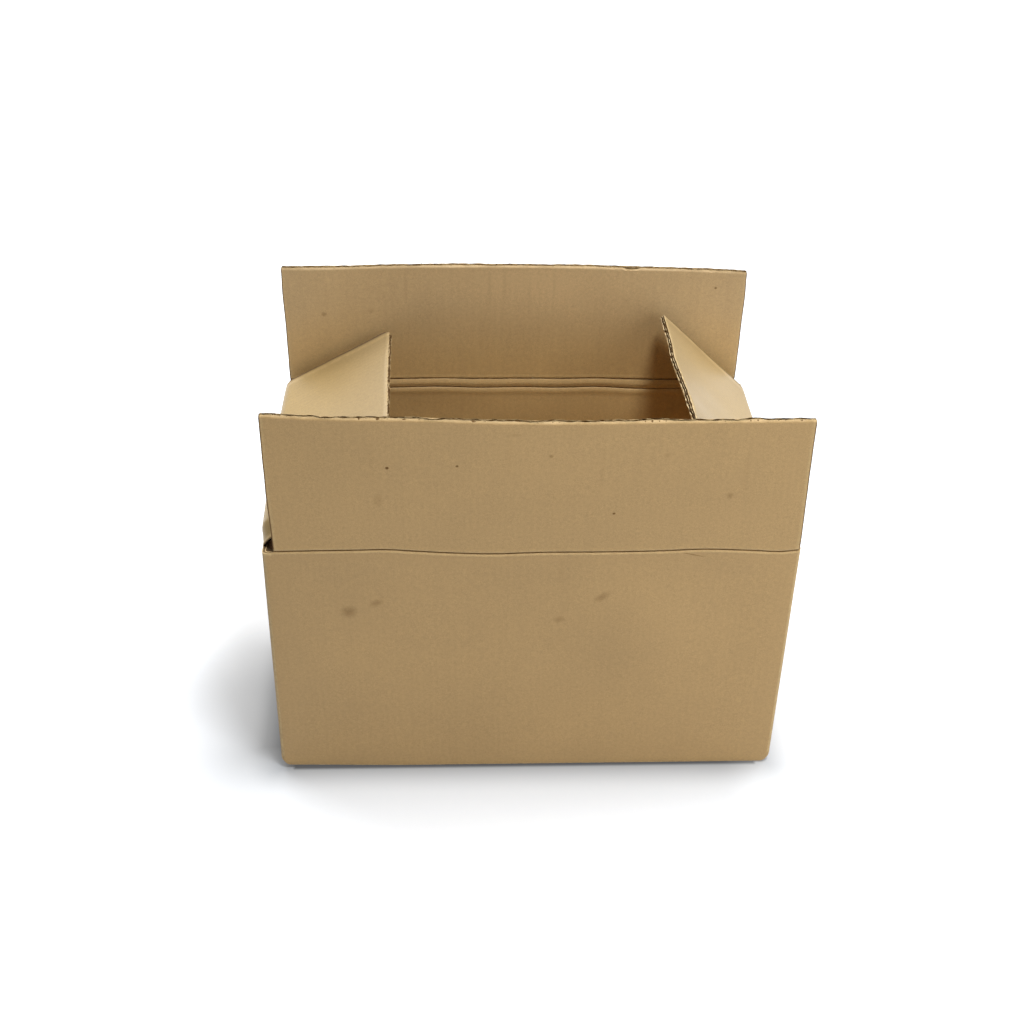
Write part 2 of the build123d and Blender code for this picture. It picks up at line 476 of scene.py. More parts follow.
class Nodes:
    """A node tree and the one way in which nodes are added to it."""

    def __init__(self, tree: bpy.types.NodeTree) -> None:
        """Empty the tree."""
        self.tree = tree
        tree.nodes.clear()

    def node(self, kind: str, settings: dict | None = None, sockets: dict | None = None) -> bpy.types.Node:
        """Add a node.

        Args:
            kind: Its type.
            settings: Its own properties, which are set first.
            sockets: Values, links or wrapped values of its inputs, by name or number.

        Returns:
            The node.
        """
        node = self.tree.nodes.new(kind)
        for key, setting in (settings or {}).items():
            setattr(node, key, setting)
        self.feed(node, sockets or {})
        return node

    def feed(self, node: bpy.types.Node, sockets: dict) -> None:
        """Set or link inputs of a node."""
        for key, given in sockets.items():
            given = given.socket if isinstance(given, Value) else given
            if isinstance(given, Socket):
                self.tree.links.new(given, node.inputs[key])
            else:
                node.inputs[key].default_value = given

    def out(
        self, kind: str, settings: dict | None = None, sockets: dict | None = None, key: int | str = 0,
    ) -> Socket:
        """Add a node and give its first output, or another one."""
        return self.node(kind, settings, sockets).outputs[key]

    def value(self, kind: str, settings: dict | None = None, sockets: dict | None = None) -> Value:
        """Add a node and wrap its first output."""
        return Value(self, self.out(kind, settings, sockets))

    def seen_by(self, *rays: str) -> Value:
        """1 for these kinds of ray, and 0 for the light that falls on things."""
        path = self.node("ShaderNodeLightPath").outputs
        seen: Value | float = 0.0
        for ray in rays:
            seen = Value(self, path[f"Is {ray} Ray"]).most(seen)
        return seen


class Shader(Nodes):
    """A material and the nodes that are added to it."""

    def __init__(self, name: str) -> None:
        """Make a material with a surface shader and an output."""
        self.material = bpy.data.materials.new(name)
        self.material.use_nodes = True
        super().__init__(self.material.node_tree)
        self.surface = self.node("ShaderNodeBsdfPrincipled")
        self.node("ShaderNodeOutputMaterial", None, {"Surface": self.surface.outputs[0]})
        self.place = self.out("ShaderNodeTexCoord", key="Object")

    def noise(self, scale: float, detail: float = 2.0, stretch: Triple = (1, 1, 1)) -> Value:
        """Noise from 0 to 1 on the object's own coordinates.

        Args:
            scale: Waves in a metre.
            detail: Finer layers.
            stretch: Share of the scale along each axis.

        Returns:
            The noise.
        """
        spread = self.out("ShaderNodeMapping", None, {"Vector": self.place, "Scale": stretch})
        return self.value("ShaderNodeTexNoise", None, {"Vector": spread, "Scale": scale, "Detail": detail})

    def axes(self, vector: Socket | None = None) -> tuple[Value, Value, Value]:
        """The three parts of a vector, or of the object coordinates."""
        split = self.node("ShaderNodeSeparateXYZ", None, {0: vector or self.place})
        return tuple(Value(self, output) for output in split.outputs)

    def board_map(self) -> tuple[Value, Value]:
        """Distance along the fold, and up the flutes or into a cut edge, in metres."""
        return self.axes(self.out("ShaderNodeUVMap", {"uv_map": "board"}))[:2]

    def wear_and_shading(self) -> Value:
        """How scuffed and grimy the surface is, and the light and shade painted on it, from the mesh."""
        return Value(self, self.out("ShaderNodeAttribute", {"attribute_name": "wear_and_shading"}, None, "Fac"))

    def mix(self, first: object, second: object, share: Value | float, kind: str = "MIX") -> Socket:
        """Mix two colours.

        Args:
            first: Colour or socket that a share of 0 gives.
            second: Colour or socket that a share of 1 gives.
            share: The share.
            kind: How they are mixed.

        Returns:
            The socket of the mixed colour.
        """
        settings = {"data_type": "RGBA", "blend_type": kind}
        return self.out("ShaderNodeMix", settings, {0: share, 6: first, 7: second}, 2)

    def tint(self, colour: object, level: Value) -> Socket:
        """A colour times a number."""
        grey = self.out("ShaderNodeCombineColor", None, {0: level, 1: level, 2: level})
        return self.mix(colour, grey, 1.0, "MULTIPLY")

    def shade_blackened(self, colour: object) -> Socket:
        """A colour, turned black where the mesh carries painted black shade, in the slot at the left front
        corner.
        """
        return self.mix(colour, rgba(SHADE_BLACK), (self.wear_and_shading() * -1.0 - 1.0).most(0.0))

    def dress(self, colour: object, roughness: Value | float, gloss: float) -> None:
        """Give the surface its colour, roughness and share of reflected light."""
        self.feed(self.surface, {"Base Color": colour, "Roughness": roughness, "Specular IOR Level": gloss})

    def relief(self, height: Value, strength: float, distance: float) -> None:
        """Let a height in metres times its distance tilt the light on the surface."""
        sockets = {"Height": height, "Strength": strength, "Distance": distance}
        self.feed(self.surface, {"Normal": self.out("ShaderNodeBump", None, sockets)})


@dataclass(frozen=True)
class Mark:
    """A spot, smudge or scratch on the paper, as seen from the front.

    Attributes:
        across: Place along X.
        height: Place along Z.
        width: Half its size along its length.
        tall: Half its size across its length.
        strength: How much of the paper's light it takes away, less than 0 for a pale spot.
        tilt: Degrees that it is turned, anticlockwise.
        soft: Share of its size that fades out.
    """

    across: float
    height: float
    width: float
    tall: float
    strength: float
    tilt: float = 0.0
    soft: float = 0.8

    def over(self, shader: Shader, ragged: Value) -> Value:
        """How strong the mark is over the surface, with a ragged edge."""
        sockets = {
            "Vector": shader.place,
            "Location": (self.across * MM, 0.0, self.height * MM),
            "Rotation": (0.0, math.radians(-self.tilt), 0.0),
            "Scale": (self.width * MM, 1.0, self.tall * MM),
        }
        local = shader.axes(shader.out("ShaderNodeMapping", {"vector_type": "TEXTURE"}, sockets))
        distance = (local[0] * local[0] + local[2] * local[2]) ** 0.5
        return (distance + ragged * 0.5 - 0.25).ramp(1.0 - self.soft, 1.0, self.strength, 0.0)


@dataclass(frozen=True)
class PaintedLighting:
    """A slow change of the clean paper's colour over a panel: painted light and shade.

    Attributes:
        colour: The paper where the change ends.
        axis: 0 where it changes along X, 2 where it changes along Z.
        start: Distance along that axis where it starts, in metres.
        end: Where it ends.
    """

    colour: Triple
    axis: int
    start: float
    end: float


@dataclass(frozen=True)
class Kraft:
    """Kraft liner: matt paper with fibres, faint flutes, soft streaks, marks and scuffed edges, with painted
    light and shade from the mesh.

    Attributes:
        name: Name of the material.
        colour: The clean paper.
        pitch: Flutes under the liner, in millimetres.
        marks: Marks on the side that faces the viewer.
        marks_before: Only where Y is under this value, in millimetres, are there marks.
        streaks: How strong the upright streaks are.
        roughness: How matt it is.
        gloss: How much it reflects.
        painted_light_slope: How much brighter it gets to the right, per metre: painted light.
        fade: A slow change of its colour: painted light and shade.
    """

    name: str
    colour: Triple
    pitch: float = GAUGE.outer_pitch
    marks: tuple[Mark, ...] = ()
    marks_before: float = 1000.0
    streaks: float = 0.05
    roughness: float = 0.46
    gloss: float = 0.6
    painted_light_slope: float = 0.0
    fade: PaintedLighting | None = None

    def stained(self, shader: Shader) -> Value:
        """How much of the paper is under a mark, less than 0 on a pale spot."""
        ragged = shader.noise(300.0)
        taken: Value | float = 0.0
        for mark in self.marks:
            taken = mark.over(shader, ragged) + taken
        return (shader.axes()[1] < self.marks_before * MM) * taken

    def clean(self, shader: Shader) -> object:
        """Colour of the clean paper."""
        if self.fade is None:
            return rgba(self.colour)
        # A painted change of colour over the panel, standing for light and shade
        share = shader.axes()[self.fade.axis].size().ramp(self.fade.start, self.fade.end)
        return shader.mix(rgba(self.colour), rgba(self.fade.colour), share)

    def build(self) -> bpy.types.Material:
        """Make the material."""
        shader = Shader(self.name)
        clouds = shader.noise(11.0, 3.0) - 0.5
        fibres = shader.noise(330.0, 3.0) - 0.5
        grain = shader.noise(1300.0, 1.0) - 0.5
        streaks = shader.noise(70.0, 2.0, (1.0, 1.0, 0.06)) - 0.5
        flutes = (shader.board_map()[0] * (TURN / (self.pitch * MM))).sine()
        level = 1.0 + clouds * 0.15 + fibres * 0.28 + grain * 0.5 + streaks * self.streaks + flutes * 0.006
        # Brighter towards the right: painted light
        level = level * (1.0 + shader.axes()[0] * self.painted_light_slope)
        worn_and_shaded = shader.wear_and_shading()
        # Paler above 0: scuffed edges, and painted highlights beside creases and folds
        lightening = worn_and_shaded.most(0.0) * shader.noise(160.0, 3.0).ramp(0.25, 0.6, 0.35, 1.0)
        # Darker below 0: grime, and painted shade in creases, at folds, along edges and in the slot
        grimed_and_shaded = (worn_and_shaded * -0.9).most(0.0).least(0.95)
        mark = self.stained(shader)
        dark = mark.most(0.0)
        paper = shader.mix(self.clean(shader), rgba(KRAFT_WORN_AND_HIGHLIT), lightening)
        paper = shader.mix(paper, rgba(STAIN), dark)
        paper = shader.mix(paper, rgba(GRIME_AND_SHADE), grimed_and_shaded)
        rough = self.roughness + fibres * 0.05 + grimed_and_shaded * 0.5 + dark * 0.3
        shader.dress(shader.tint(paper, level * (1.0 - mark.least(0.0))), rough, self.gloss)
        shader.relief(fibres * 0.6 + grain * 0.35 + flutes * 0.12 + streaks * 0.5, 0.32, 0.0004)
        return shader.material


@dataclass(frozen=True)
class CutEdge:
    """A cut edge of the whole board: three pale liners and two fluted layers, with painted shade in the
    hollows between the flutes.
    """

    name: str
    liner: Triple = LINER_RIM
    medium: Triple = FLUTING
    hollow_shade: Triple = HOLLOW_SHADE

    def wave(self, run: Value, depth: Value, layer: Pair, pitch: float) -> Value:
        """1 on the wavy paper of a fluted layer, and 0 beside it."""
        middle = (layer[0] + layer[1]) / 2 * MM
        swing = (layer[1] - layer[0] - GAUGE.medium) / 2 * MM
        crest = (run * (TURN / (pitch * MM))).sine() * swing + middle
        return (depth - crest).size().ramp(0.25 * MM, 0.55 * MM, 1.0, 0.0)

    def build(self) -> bpy.types.Material:
        """Make the material."""
        shader = Shader(self.name)
        run, depth = shader.board_map()
        outer = self.wave(run, depth, GAUGE.outer_flute, GAUGE.outer_pitch)
        inner = self.wave(run, depth, GAUGE.inner_flute, GAUGE.inner_pitch)
        paper = outer.most(inner)
        half = GAUGE.liner / 2
        lines: Value | float = 0.0
        for level in (half, GAUGE.outer_flute[1] + half, GAUGE.board - half):
            lines = (depth - level * MM).size().ramp(0.3 * MM, 0.6 * MM, 1.0, 0.0).most(lines)
        rough = shader.noise(500.0, 3.0)
        # Painted shade in the hollows between the flutes
        fluted = shader.mix(rgba(self.hollow_shade), rgba(self.medium), paper)
        # Pale liner colour where the edge is scuffed, and black where the mesh carries painted black shade
        colour = shader.shade_blackened(shader.mix(fluted, rgba(self.liner), lines.most(shader.wear_and_shading())))
        shader.dress(shader.tint(colour, 0.85 + rough * 0.3), 0.9, 0.1)
        shader.relief(paper.most(lines) * 0.8 + rough * 0.4, 0.5, 0.0005)
        return shader.material


@dataclass(frozen=True)
class Fibre:
    """Bare fluting paper or the fuzzy rim of a liner: one colour with a coarse fibre pattern."""

    name: str
    colour: Triple
    contrast: float = 0.5

    def build(self) -> bpy.types.Material:
        """Make the material."""
        shader = Shader(self.name)
        fibres = shader.noise(700.0, 3.0)
        level = (1.0 - self.contrast / 2) + fibres * self.contrast
        # Black where the mesh carries painted black shade
        shader.dress(shader.tint(shader.shade_blackened(rgba(self.colour)), level), 0.92, 0.1)
        shader.relief(fibres, 0.5, 0.0004)
        return shader.material


class FluteRow(Nodes):
    """Geometry Nodes tree that waves a strip of paper between two liners and gives it its thickness."""

    SIZES = ("Pitch", "Height", "Paper", "Crush", "Seed")

    def __init__(self) -> None:
        """Build the tree."""
        super().__init__(bpy.data.node_groups.new("fluted layer", "GeometryNodeTree"))
        kinds = {"Strip": "Geometry"} | dict.fromkeys(self.SIZES, "Float") | {"Material": "Material"}
        face = self.tree.interface
        self.identifiers: dict[str, str] = {}
        for name, kind in kinds.items():
            socket = face.new_socket(name=name, in_out="INPUT", socket_type="NodeSocket" + kind)
            self.identifiers[name] = socket.identifier
        face.new_socket(name="Flutes", in_out="OUTPUT", socket_type="NodeSocketGeometry")
        self._wire()

    def _named(self, name: str) -> Value:
        """A number that each point of the strip carries."""
        kind = "GeometryNodeInputNamedAttribute"
        return Value(self, self.out(kind, {"data_type": "FLOAT"}, {"Name": name}, "Attribute"))

    def _wire(self) -> None:
        """Wave the strip, thicken it and give it its material."""
        start = self.node("NodeGroupInput").outputs
        pitch, height, paper, crush, seed = (Value(self, start[name]) for name in self.SIZES)
        wave = (self._named("run") / pitch * TURN).sine()
        crushed = self.value("ShaderNodeTexNoise", {"noise_dimensions": "4D"}, {"W": seed, "Scale": 45.0})
        lift = wave * ((height * self._named("room") - paper) * (0.5 - crushed * crush))
        normal = self.out("GeometryNodeInputNormal")
        offset = self.out("ShaderNodeVectorMath", {"operation": "SCALE"}, {0: normal, "Scale": lift})
        waved = self.out("GeometryNodeSetPosition", None, {"Geometry": start["Strip"], "Offset": offset})
        sockets = {"Mesh": waved, "Offset Scale": paper, "Individual": False}
        thick = self.out("GeometryNodeExtrudeMesh", None, sockets, "Mesh")
        both = self.node("GeometryNodeJoinGeometry", None, {0: thick})
        self.feed(both, {0: self.out("GeometryNodeFlipFaces", None, {"Mesh": waved})})
        sockets = {"Geometry": both.outputs[0], "Distance": 1e-6}
        closed = self.out("GeometryNodeMergeByDistance", None, sockets)
        real = self.out("GeometryNodeRealizeInstances", None, {"Geometry": closed})
        sockets = {"Geometry": real, "Material": start["Material"]}
        self.node("NodeGroupOutput", None, {0: self.out("GeometryNodeSetMaterial", None, sockets)})

    def grow(self, strip: bpy.types.Object, given: dict[str, object]) -> bpy.types.Object:
        """Turn a strip into a row of flutes.

        Args:
            strip: Plain strip with a run and a room on each point. It is replaced.
            given: Sizes and material of the flutes, by the names of the tree's inputs.

        Returns:
            The plain mesh of the row.
        """
        modifier = strip.modifiers.new("flutes", "NODES")
        modifier.node_group = self.tree
        for name, value in given.items():
            modifier[self.identifiers[name]] = value
        bpy.context.view_layer.update()
        live = strip.evaluated_get(bpy.context.evaluated_depsgraph_get())
        mesh = bpy.data.meshes.new_from_object(live)
        strip.modifiers.clear()
        name, old = strip.name, strip.data
        bpy.data.objects.remove(strip)
        bpy.data.meshes.remove(old)
        mesh.name = name
        return placed(name, mesh)


@dataclass(frozen=True)
class FoldLine:
    """Where a flap joins its wall.

    Attributes:
        turn: Degrees from the front wall, anticlockwise from above.
        wall: Distance of the wall's outer face from the middle of the carton.
        middle: Place of the flap's middle along the fold.
        length: Length of the flap along the fold.
        outer: Height of the crease over the fold line on the outer face.
        inner: The same on the inner face.
        level: Height of the fold line.
    """

    turn: float
    wall: float
    middle: float
    length: float
    outer: Line = Line()
    inner: Line = Line()
    level: float = RACKING.level

    @property
    def half(self) -> float:
        """Half the flap's length."""
        return self.length / 2

    def share(self, along: np.ndarray) -> np.ndarray:
        """Places along the fold, as -1 at one end of the flap to 1 at the other."""
        return (along - self.middle) / self.half

    def crease(self, along: np.ndarray, depth: float) -> np.ndarray:
        """Height of the crease over the fold line, at a depth in the board."""
        share = depth / GAUGE.board
        return self.outer.at(along) * (1 - share) + self.inner.at(along) * share

    def world(self, along: np.ndarray, inward: np.ndarray, up: np.ndarray) -> np.ndarray:
        """Points of the carton's frame.

        Args:
            along: Place along the fold, from the middle of the wall.
            inward: Distance inwards from the wall's outer face.
            up: Height over the fold line.

        Returns:
            The points, with their axes last.
        """
        cosine, sine = math.cos(math.radians(self.turn)), math.sin(math.radians(self.turn))
        y = inward - self.wall
        return np.stack([along * cosine - y * sine, along * sine + y * cosine, up + self.level], axis=-1)


@dataclass
class Flap:
    """A top flap: a sheet that bends above its fold line, with open flutes at its free edge.

    Pairs of numbers are for the ends at smaller and at larger places along the fold, unless they
    say otherwise.

    Attributes:
        name: Name of its CAD node and body.
        fold: Where it joins the wall.
        reach: Length from the fold line to the free edge, along the outer face.
        finishes: Material of each paper.
        seed: Picks its small unevenness.
        edge: Height of the free edge over its plain reach, along the fold.
        torn: How ragged the inner liner's free edge is.
        tips: How far the outer and the inner liner's free edges are rounded over.
        open_edge: Where the inner liner's free edge hangs open: place, half width, drop.
        second_crease: Height of a second crease on the inner face, or 0 for none.
        scallop: How far the outer liner's free edge sinks in between the flutes.
        corner: Radius of the two corners of the free edge.
        ends: How far the ends are moved along the fold, going up the sheet.
        crushed: How flat the board is pressed at the foot of the ends.
        outline: Width of the dark line along the side edges: painted contact shade, with some grime.
        slot_shade: How strongly painted black shade covers the middle and inner liners at the foot of the end
            at larger places.
        inner_liner: Thickness of the inner liner, more where its fuzzy edge looks thick.
        lightening: How pale the paper is along the free edge.
    """

    SIDE_INSET = 1.8  # from the side edges to the solid middle
    BLEND = (288.6, 298.0)  # heights between which the board goes over from the carton to the flap
    ROOT = 24.0  # distance from the fold line over which the crease's shape is felt
    TIP = 2.6  # length of the rounded free edge
    SUNK = 4.0  # length of the free edge that sinks in between the flutes
    RAGGED = 3.0  # length of the free edge that is ragged
    CORNERED = 14.0  # length of the free edge that the rounded corners may take
    PRESSED_WIDTH = 14.0  # of the pressed foot of an end, along the fold
    PRESSED_REACH = (12.0, 30.0)  # up to where it is pressed in full, and how soon that fades

    name: str
    fold: FoldLine
    reach: float
    finishes: Finishes
    seed: int
    edge: Line = Line()
    torn: float = 0.25
    tips: Pair = (1.6, 1.2)
    open_edge: Triple = (0.0, 1.0, 0.0)
    second_crease: float = 0.0
    scallop: float = 0.0
    corner: float = 2.5
    ends: tuple[Line, Line] = (Line(), Line())
    crushed: Pair = (0.0, 0.0)
    outline: Pair = (1.0, 1.0)
    slot_shade: float = 0.0
    inner_liner: float = GAUGE.liner
    lightening: float = 1.0
    along: np.ndarray = field(init=False)
    up: np.ndarray = field(init=False)
    inward: np.ndarray = field(init=False)
    height: np.ndarray = field(init=False)
    angle: np.ndarray = field(init=False)

    def bend(self, along: np.ndarray, up: np.ndarray) -> np.ndarray:
        """Angle of the sheet from upright, inwards, in radians, at each place."""
        raise NotImplementedError

    def rows(self) -> np.ndarray:
        """Distances up the sheet that carry points, finer at the fold and at the free edge."""
        fold = [0.0, 0.3, 0.6, 1.0, 1.6, 2.4, 3.4, 4.6, 6.0, 7.6]
        second = [9.2, 10.4, 11.1, 11.5, 11.8, 12.1, 12.5, 13.2, 14.4]
        tip = [self.reach - gap for gap in (9.0, GAUGE.recess, 4.6, 3.4, 2.4, 1.6, 0.9, 0.4, 0.0)]
        bend, flat = np.arange(16.0, 44.0, 2.5), np.arange(44.0, self.reach - 12.0, 7.0)
        return np.concatenate([fold, second, bend, flat, tip])

    def columns(self) -> np.ndarray:
        """Places along the fold that carry points, finer at both side edges."""
        half = self.fold.half
        side = np.array([0.0, 0.4, 0.9, self.SIDE_INSET, 3.0, 4.6])
        inner = np.linspace(-half + 7.0, half - 7.0, int(self.fold.length / 2.4))
        return np.concatenate([-half + side, inner, half - side[::-1]]) + self.fold.middle

    def __post_init__(self) -> None:
        """Work out the sheet's outer face from its bend, column by column."""
        self.up = self.rows()
        self.along = self.columns()
        self.angle = self.bend(*np.meshgrid(self.along, self.up, indexing="ij"))
        between = (self.angle[:, 1:] + self.angle[:, :-1]) / 2
        start = np.zeros((len(self.along), 1))
        self.inward, self.height = (
            np.concatenate([start, np.cumsum(part(between) * np.diff(self.up), axis=1)], axis=1)
            for part in (np.sin, np.cos)
        )

    def side_distance(self) -> np.ndarray:
        """Distance of each column from the nearer side edge."""
        return self.fold.half - np.abs(self.along - self.fold.middle)

    def dents(self) -> tuple[np.ndarray, np.ndarray]:
        """How far the outer and the inner face are pressed in, at each place."""
        up = self.up[None, :]
        noise = Waviness(self.seed + 3, 40.0, 0.35).at(self.along)[:, None]
        rolled = smooth((up - (self.reach - self.TIP)) / self.TIP) ** 1.7
        sides = 0.5 * bump(self.side_distance()[:, None], 0.0, 1.1)
        flutes = 1 - np.cos(TURN * self.along / GAUGE.outer_pitch)[:, None]
        sunk = self.scallop * 0.5 * flutes * smooth((up - (self.reach - self.SUNK)) / self.SUNK)
        outer = pressed_line(up, 0.3) + rolled * self.tips[0] * (1 + noise) + sides + sunk
        inner = 1.5 * bump(up, 0.0, 0.5) + rolled * self.tips[1] * (1 - noise) + sides
        if self.second_crease:
            bead = bump(up, self.second_crease * 0.52, self.second_crease * 0.34)
            inner = inner + 1.1 * bump(up, self.second_crease, 0.5) - 1.3 * bead
            inner = inner - 0.3 * bump(up, self.second_crease + 2.2, 1.2)
        full, fade = self.PRESSED_REACH
        for sign, flat in zip((-1, 1), self.crushed):
            from_end = self.fold.half - sign * (self.along - self.fold.middle)
            near = smooth(1 - from_end / self.PRESSED_WIDTH)[:, None]
            inner = inner + flat * near * smooth(1 - (up - full) / fade)
        return outer, inner

    def layer(self, depth: float, columns: slice, rows: slice, ragged: float = 0.0) -> np.ndarray:
        """Points of the sheet at a depth.

        Args:
            depth: Distance from the outer face, in the undented board.
            columns: Which columns are used.
            rows: Which rows are used.
            ragged: How uneven the free edge is.

        Returns:
            The points, by column, row and axis.
        """
        along = self.along[columns, None]
        up = self.up[None, rows]
        share = self.fold.share(along)
        outer, inner = (dent[columns, rows] for dent in self.dents())
        deep = outer + depth * (1 - (outer + inner) / GAUGE.board)
        rise = (self.fold.crease(along, depth) + 0.12) * (1 - smooth(up / self.ROOT))
        rise = rise + self.edge.at(along) * smooth((up - self.reach * 0.3) / (self.reach * 0.7))
        aside = 1 - (self.fold.half - np.abs(along - self.fold.middle)) / self.corner
        cut = smooth((up - self.reach + self.CORNERED) / self.CORNERED)
        rise = rise - rounded(aside, self.corner) * cut
        fray = Waviness(self.seed + int(depth * 10), 9.0, 1.0, 3).at(along) * ragged
        if depth > GAUGE.board / 2:
            centre, wide, drop = self.open_edge
            fray = fray - drop * smooth((wide - np.abs(along - centre)) / (0.35 * wide))
        rise = rise + fray * smooth((up - (self.reach - self.RAGGED)) / self.RAGGED)
        angle = self.angle[columns, rows]
        inward = self.inward[columns, rows] + np.sin(angle) * rise + np.cos(angle) * deep
        height = self.height[columns, rows] + np.cos(angle) * rise - np.sin(angle) * deep
        trim = Waviness(self.seed + 7, 60.0, 0.25).at(up)
        shift = self.ends[0].at(up) * smooth(-share) + self.ends[1].at(up) * smooth(share)
        return self.fold.world(along - trim * share + shift, inward, height)

    def worn_and_shaded(self, run: np.ndarray, rise: np.ndarray, edge: np.ndarray, inside: bool) -> np.ndarray:
        """How a layer of the flap is marked: paler at its free edge and inside its side edges; painted shade
        in its creases, with a painted highlight on the back flap's bead; a dark line at its side edges that
        is painted contact shade and some grime.

        Args:
            run: Place along the fold of each point.
            rise: Distance up the sheet of each point.
            edge: Distance of each column from the nearer side edge.
            inside: Whether it is the inner liner.

        Returns:
            The marking and painted shading at each point.
        """
        wide = np.where(self.fold.share(run) < 0, *self.outline)
        # How dark the painted shade in the crease is, uneven along the fold
        pressed = 0.9 + Waviness(self.seed + 9, 26.0, 0.5, 3).at(run)
        # Paler along the free edge, and a paler strip just above the crease
        wear_and_shading = self.lightening * bump(self.reach - rise, 0.0, 1.0) + 0.6 * bump(rise, 1.9, 0.9)
        # A paler rim inside each side edge, and a dark line at the edge itself: painted contact shade where
        # the flap meets the next board, with some grime
        wear_and_shading = wear_and_shading + 0.8 * bump(edge, 2.2 * wide, 0.8 * wide) - 1.3 * bump(edge, 0.0, wide)
        # The back flap's second crease: painted shade in it, and a painted highlight on the bead below it
        if self.second_crease and inside:
            wear_and_shading = wear_and_shading - (pressed + 0.5) * bump(rise, self.second_crease, 0.6) + 0.4 * bump(rise, 6.0, 3.0)
            pressed = pressed - 0.5
        # Painted shade in the crease at the fold line
        return np.clip(wear_and_shading - pressed * bump(rise, 0.0, 0.5), -1, 1)

    def slab(
        self, near: float, far: float, columns: slice, rows: slice, papers: tuple[Finish, Finish, Finish],
        ragged: float = 0.0,
    ) -> Slab:
        """A slab of the sheet between two depths.

        Args:
            near: Depth of its outer surface.
            far: Depth of its inner surface.
            columns: Which columns are used.
            rows: Which rows are used.
            papers: Its outer, inner and rim finish.
            ragged: How uneven its free edge is.

        Returns:
            The slab.
        """
        run, rise = np.meshgrid(self.along[columns], self.up[rows], indexing="ij")
        edge = self.side_distance()[columns, None]
        wear_and_shading = self.worn_and_shaded(run, rise, edge, near > GAUGE.board / 2)
        # Painted black shade on the middle and inner liners at the foot of the end at larger places
        if near > 0:
            foot = smooth((44.0 - rise) / 10.0) * smooth((9.0 - edge) / 3.0)
            black_shade = self.slot_shade * foot * (self.fold.share(run) > 0)
            wear_and_shading = wear_and_shading * (1 - black_shade) - 2.0 * black_shade
        surfaces = (self.layer(depth, columns, rows, ragged) for depth in (near, far))
        return Slab(*surfaces, run, rise, wear_and_shading, papers, far - near)

    def board(self) -> bpy.types.Object:
        """The three liners and the solid middle of the flap, as one mesh."""
        everywhere = slice(None)
        inset = int(np.searchsorted(self.side_distance()[: len(self.along) // 2], self.SIDE_INSET - 0.01))
        within = slice(inset, len(self.along) - inset)
        foot = slice(0, int(np.searchsorted(self.up, self.reach - GAUGE.recess + 0.01)))
        rim, hidden = Finish.EDGE, Finish.MEDIUM
        sheet = Sheet(self.name + "_board", self.finishes)
        for near, far, papers, ragged in (
            (0.0, GAUGE.liner, (Finish.OUTSIDE, hidden, rim), 0.2),
            (GAUGE.board - self.inner_liner, GAUGE.board, (hidden, Finish.INSIDE, rim), self.torn),
            (GAUGE.outer_flute[1], GAUGE.inner_flute[0], (hidden, hidden, rim), 0.3),
        ):
            sheet.add(self.slab(near, far, everywhere, everywhere, papers, ragged))
        sheet.add(self.slab(0.4, GAUGE.board - 0.4, within, foot, (hidden, hidden, hidden)))
        return sheet.build()

    def strip(self, name: str, layer: Pair, pitch: float) -> bpy.types.Object:
        """A plain strip in the middle of a fluted layer, along the free edge.

        Args:
            name: Name of the object.
            layer: Depth of the layer, from and to.
            pitch: Length of a flute.

        Returns:
            The strip, with a run and a room on each point.
        """
        first = int(np.searchsorted(self.up, self.reach - GAUGE.recess - 0.01))
        rows = slice(first, len(self.up) - 1)
        columns = slice(2, len(self.along) - 2)
        outer, inner = self.dents()
        room = 0.93 - (outer + inner)[columns, rows] / GAUGE.board
        grid = self.layer((layer[0] + layer[1]) / 2, columns, rows)
        given = np.concatenate([grid, room[..., None]], axis=2)
        old = self.along[columns]
        run = np.arange(old[0], old[-1], pitch / 10)
        fine = np.apply_along_axis(lambda values: np.interp(run, old, values), 0, given)
        mesh = bpy.data.meshes.new(name)
        shape = fine.shape[:2]
        points = RACKING.moved(fine[..., :3].reshape(-1, 3)) * MM
        mesh.from_pydata(points.tolist(), [], cells(np.arange(shape[0] * shape[1]).reshape(shape)).tolist())
        carry(mesh, "run", np.repeat(run[:, None], shape[1], axis=1) * MM)
        carry(mesh, "room", fine[..., 3])
        return placed(name, mesh)

    def flutes(self, row: FluteRow) -> list[bpy.types.Object]:
        """Both rows of flutes at the free edge."""
        pieces = []
        for title, layer, pitch in (
            ("outer", GAUGE.outer_flute, GAUGE.outer_pitch), ("inner", GAUGE.inner_flute, GAUGE.inner_pitch),
        ):
            strip = self.strip(f"{self.name}_{title}_flutes", layer, pitch)
            pieces.append(row.grow(strip, {
                "Pitch": pitch * MM,
                "Height": (layer[1] - layer[0]) * MM,
                "Paper": GAUGE.medium * MM,
                "Crush": 0.4,
                "Seed": float(self.seed),
                "Material": self.finishes[Finish.MEDIUM],
            }))
        return pieces

    def make(self, row: FluteRow) -> list[bpy.types.Object]:
        """Build the flap's pieces, with flutes from the given tree, and join the flutes to its CAD body."""
        board = self.board()
        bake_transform(board)
        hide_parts(self.name)
        flutes = self.flutes(row)
        for piece in flutes:
            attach(piece, self.name)
        return [board, *flutes]


@dataclass
class LongFlap(Flap):
    """The front or back flap, nearly flat.

    Attributes:
        lean: Degrees inwards.
        belly: Degrees that the middle leans outwards from there.
    """

    lean: float = 0.0
    belly: float = 1.2

    def bend(self, along: np.ndarray, up: np.ndarray) -> np.ndarray:
        """Lean from the fold up, less in the middle of the flap, with soft waves."""
        waves = Waviness(self.seed, 210.0, 0.35).at(along, up)
        lean = self.lean - self.belly * (1 - self.fold.share(along) ** 2) + waves
        return np.radians(lean) * smooth(up / 9.0 + 0.15)


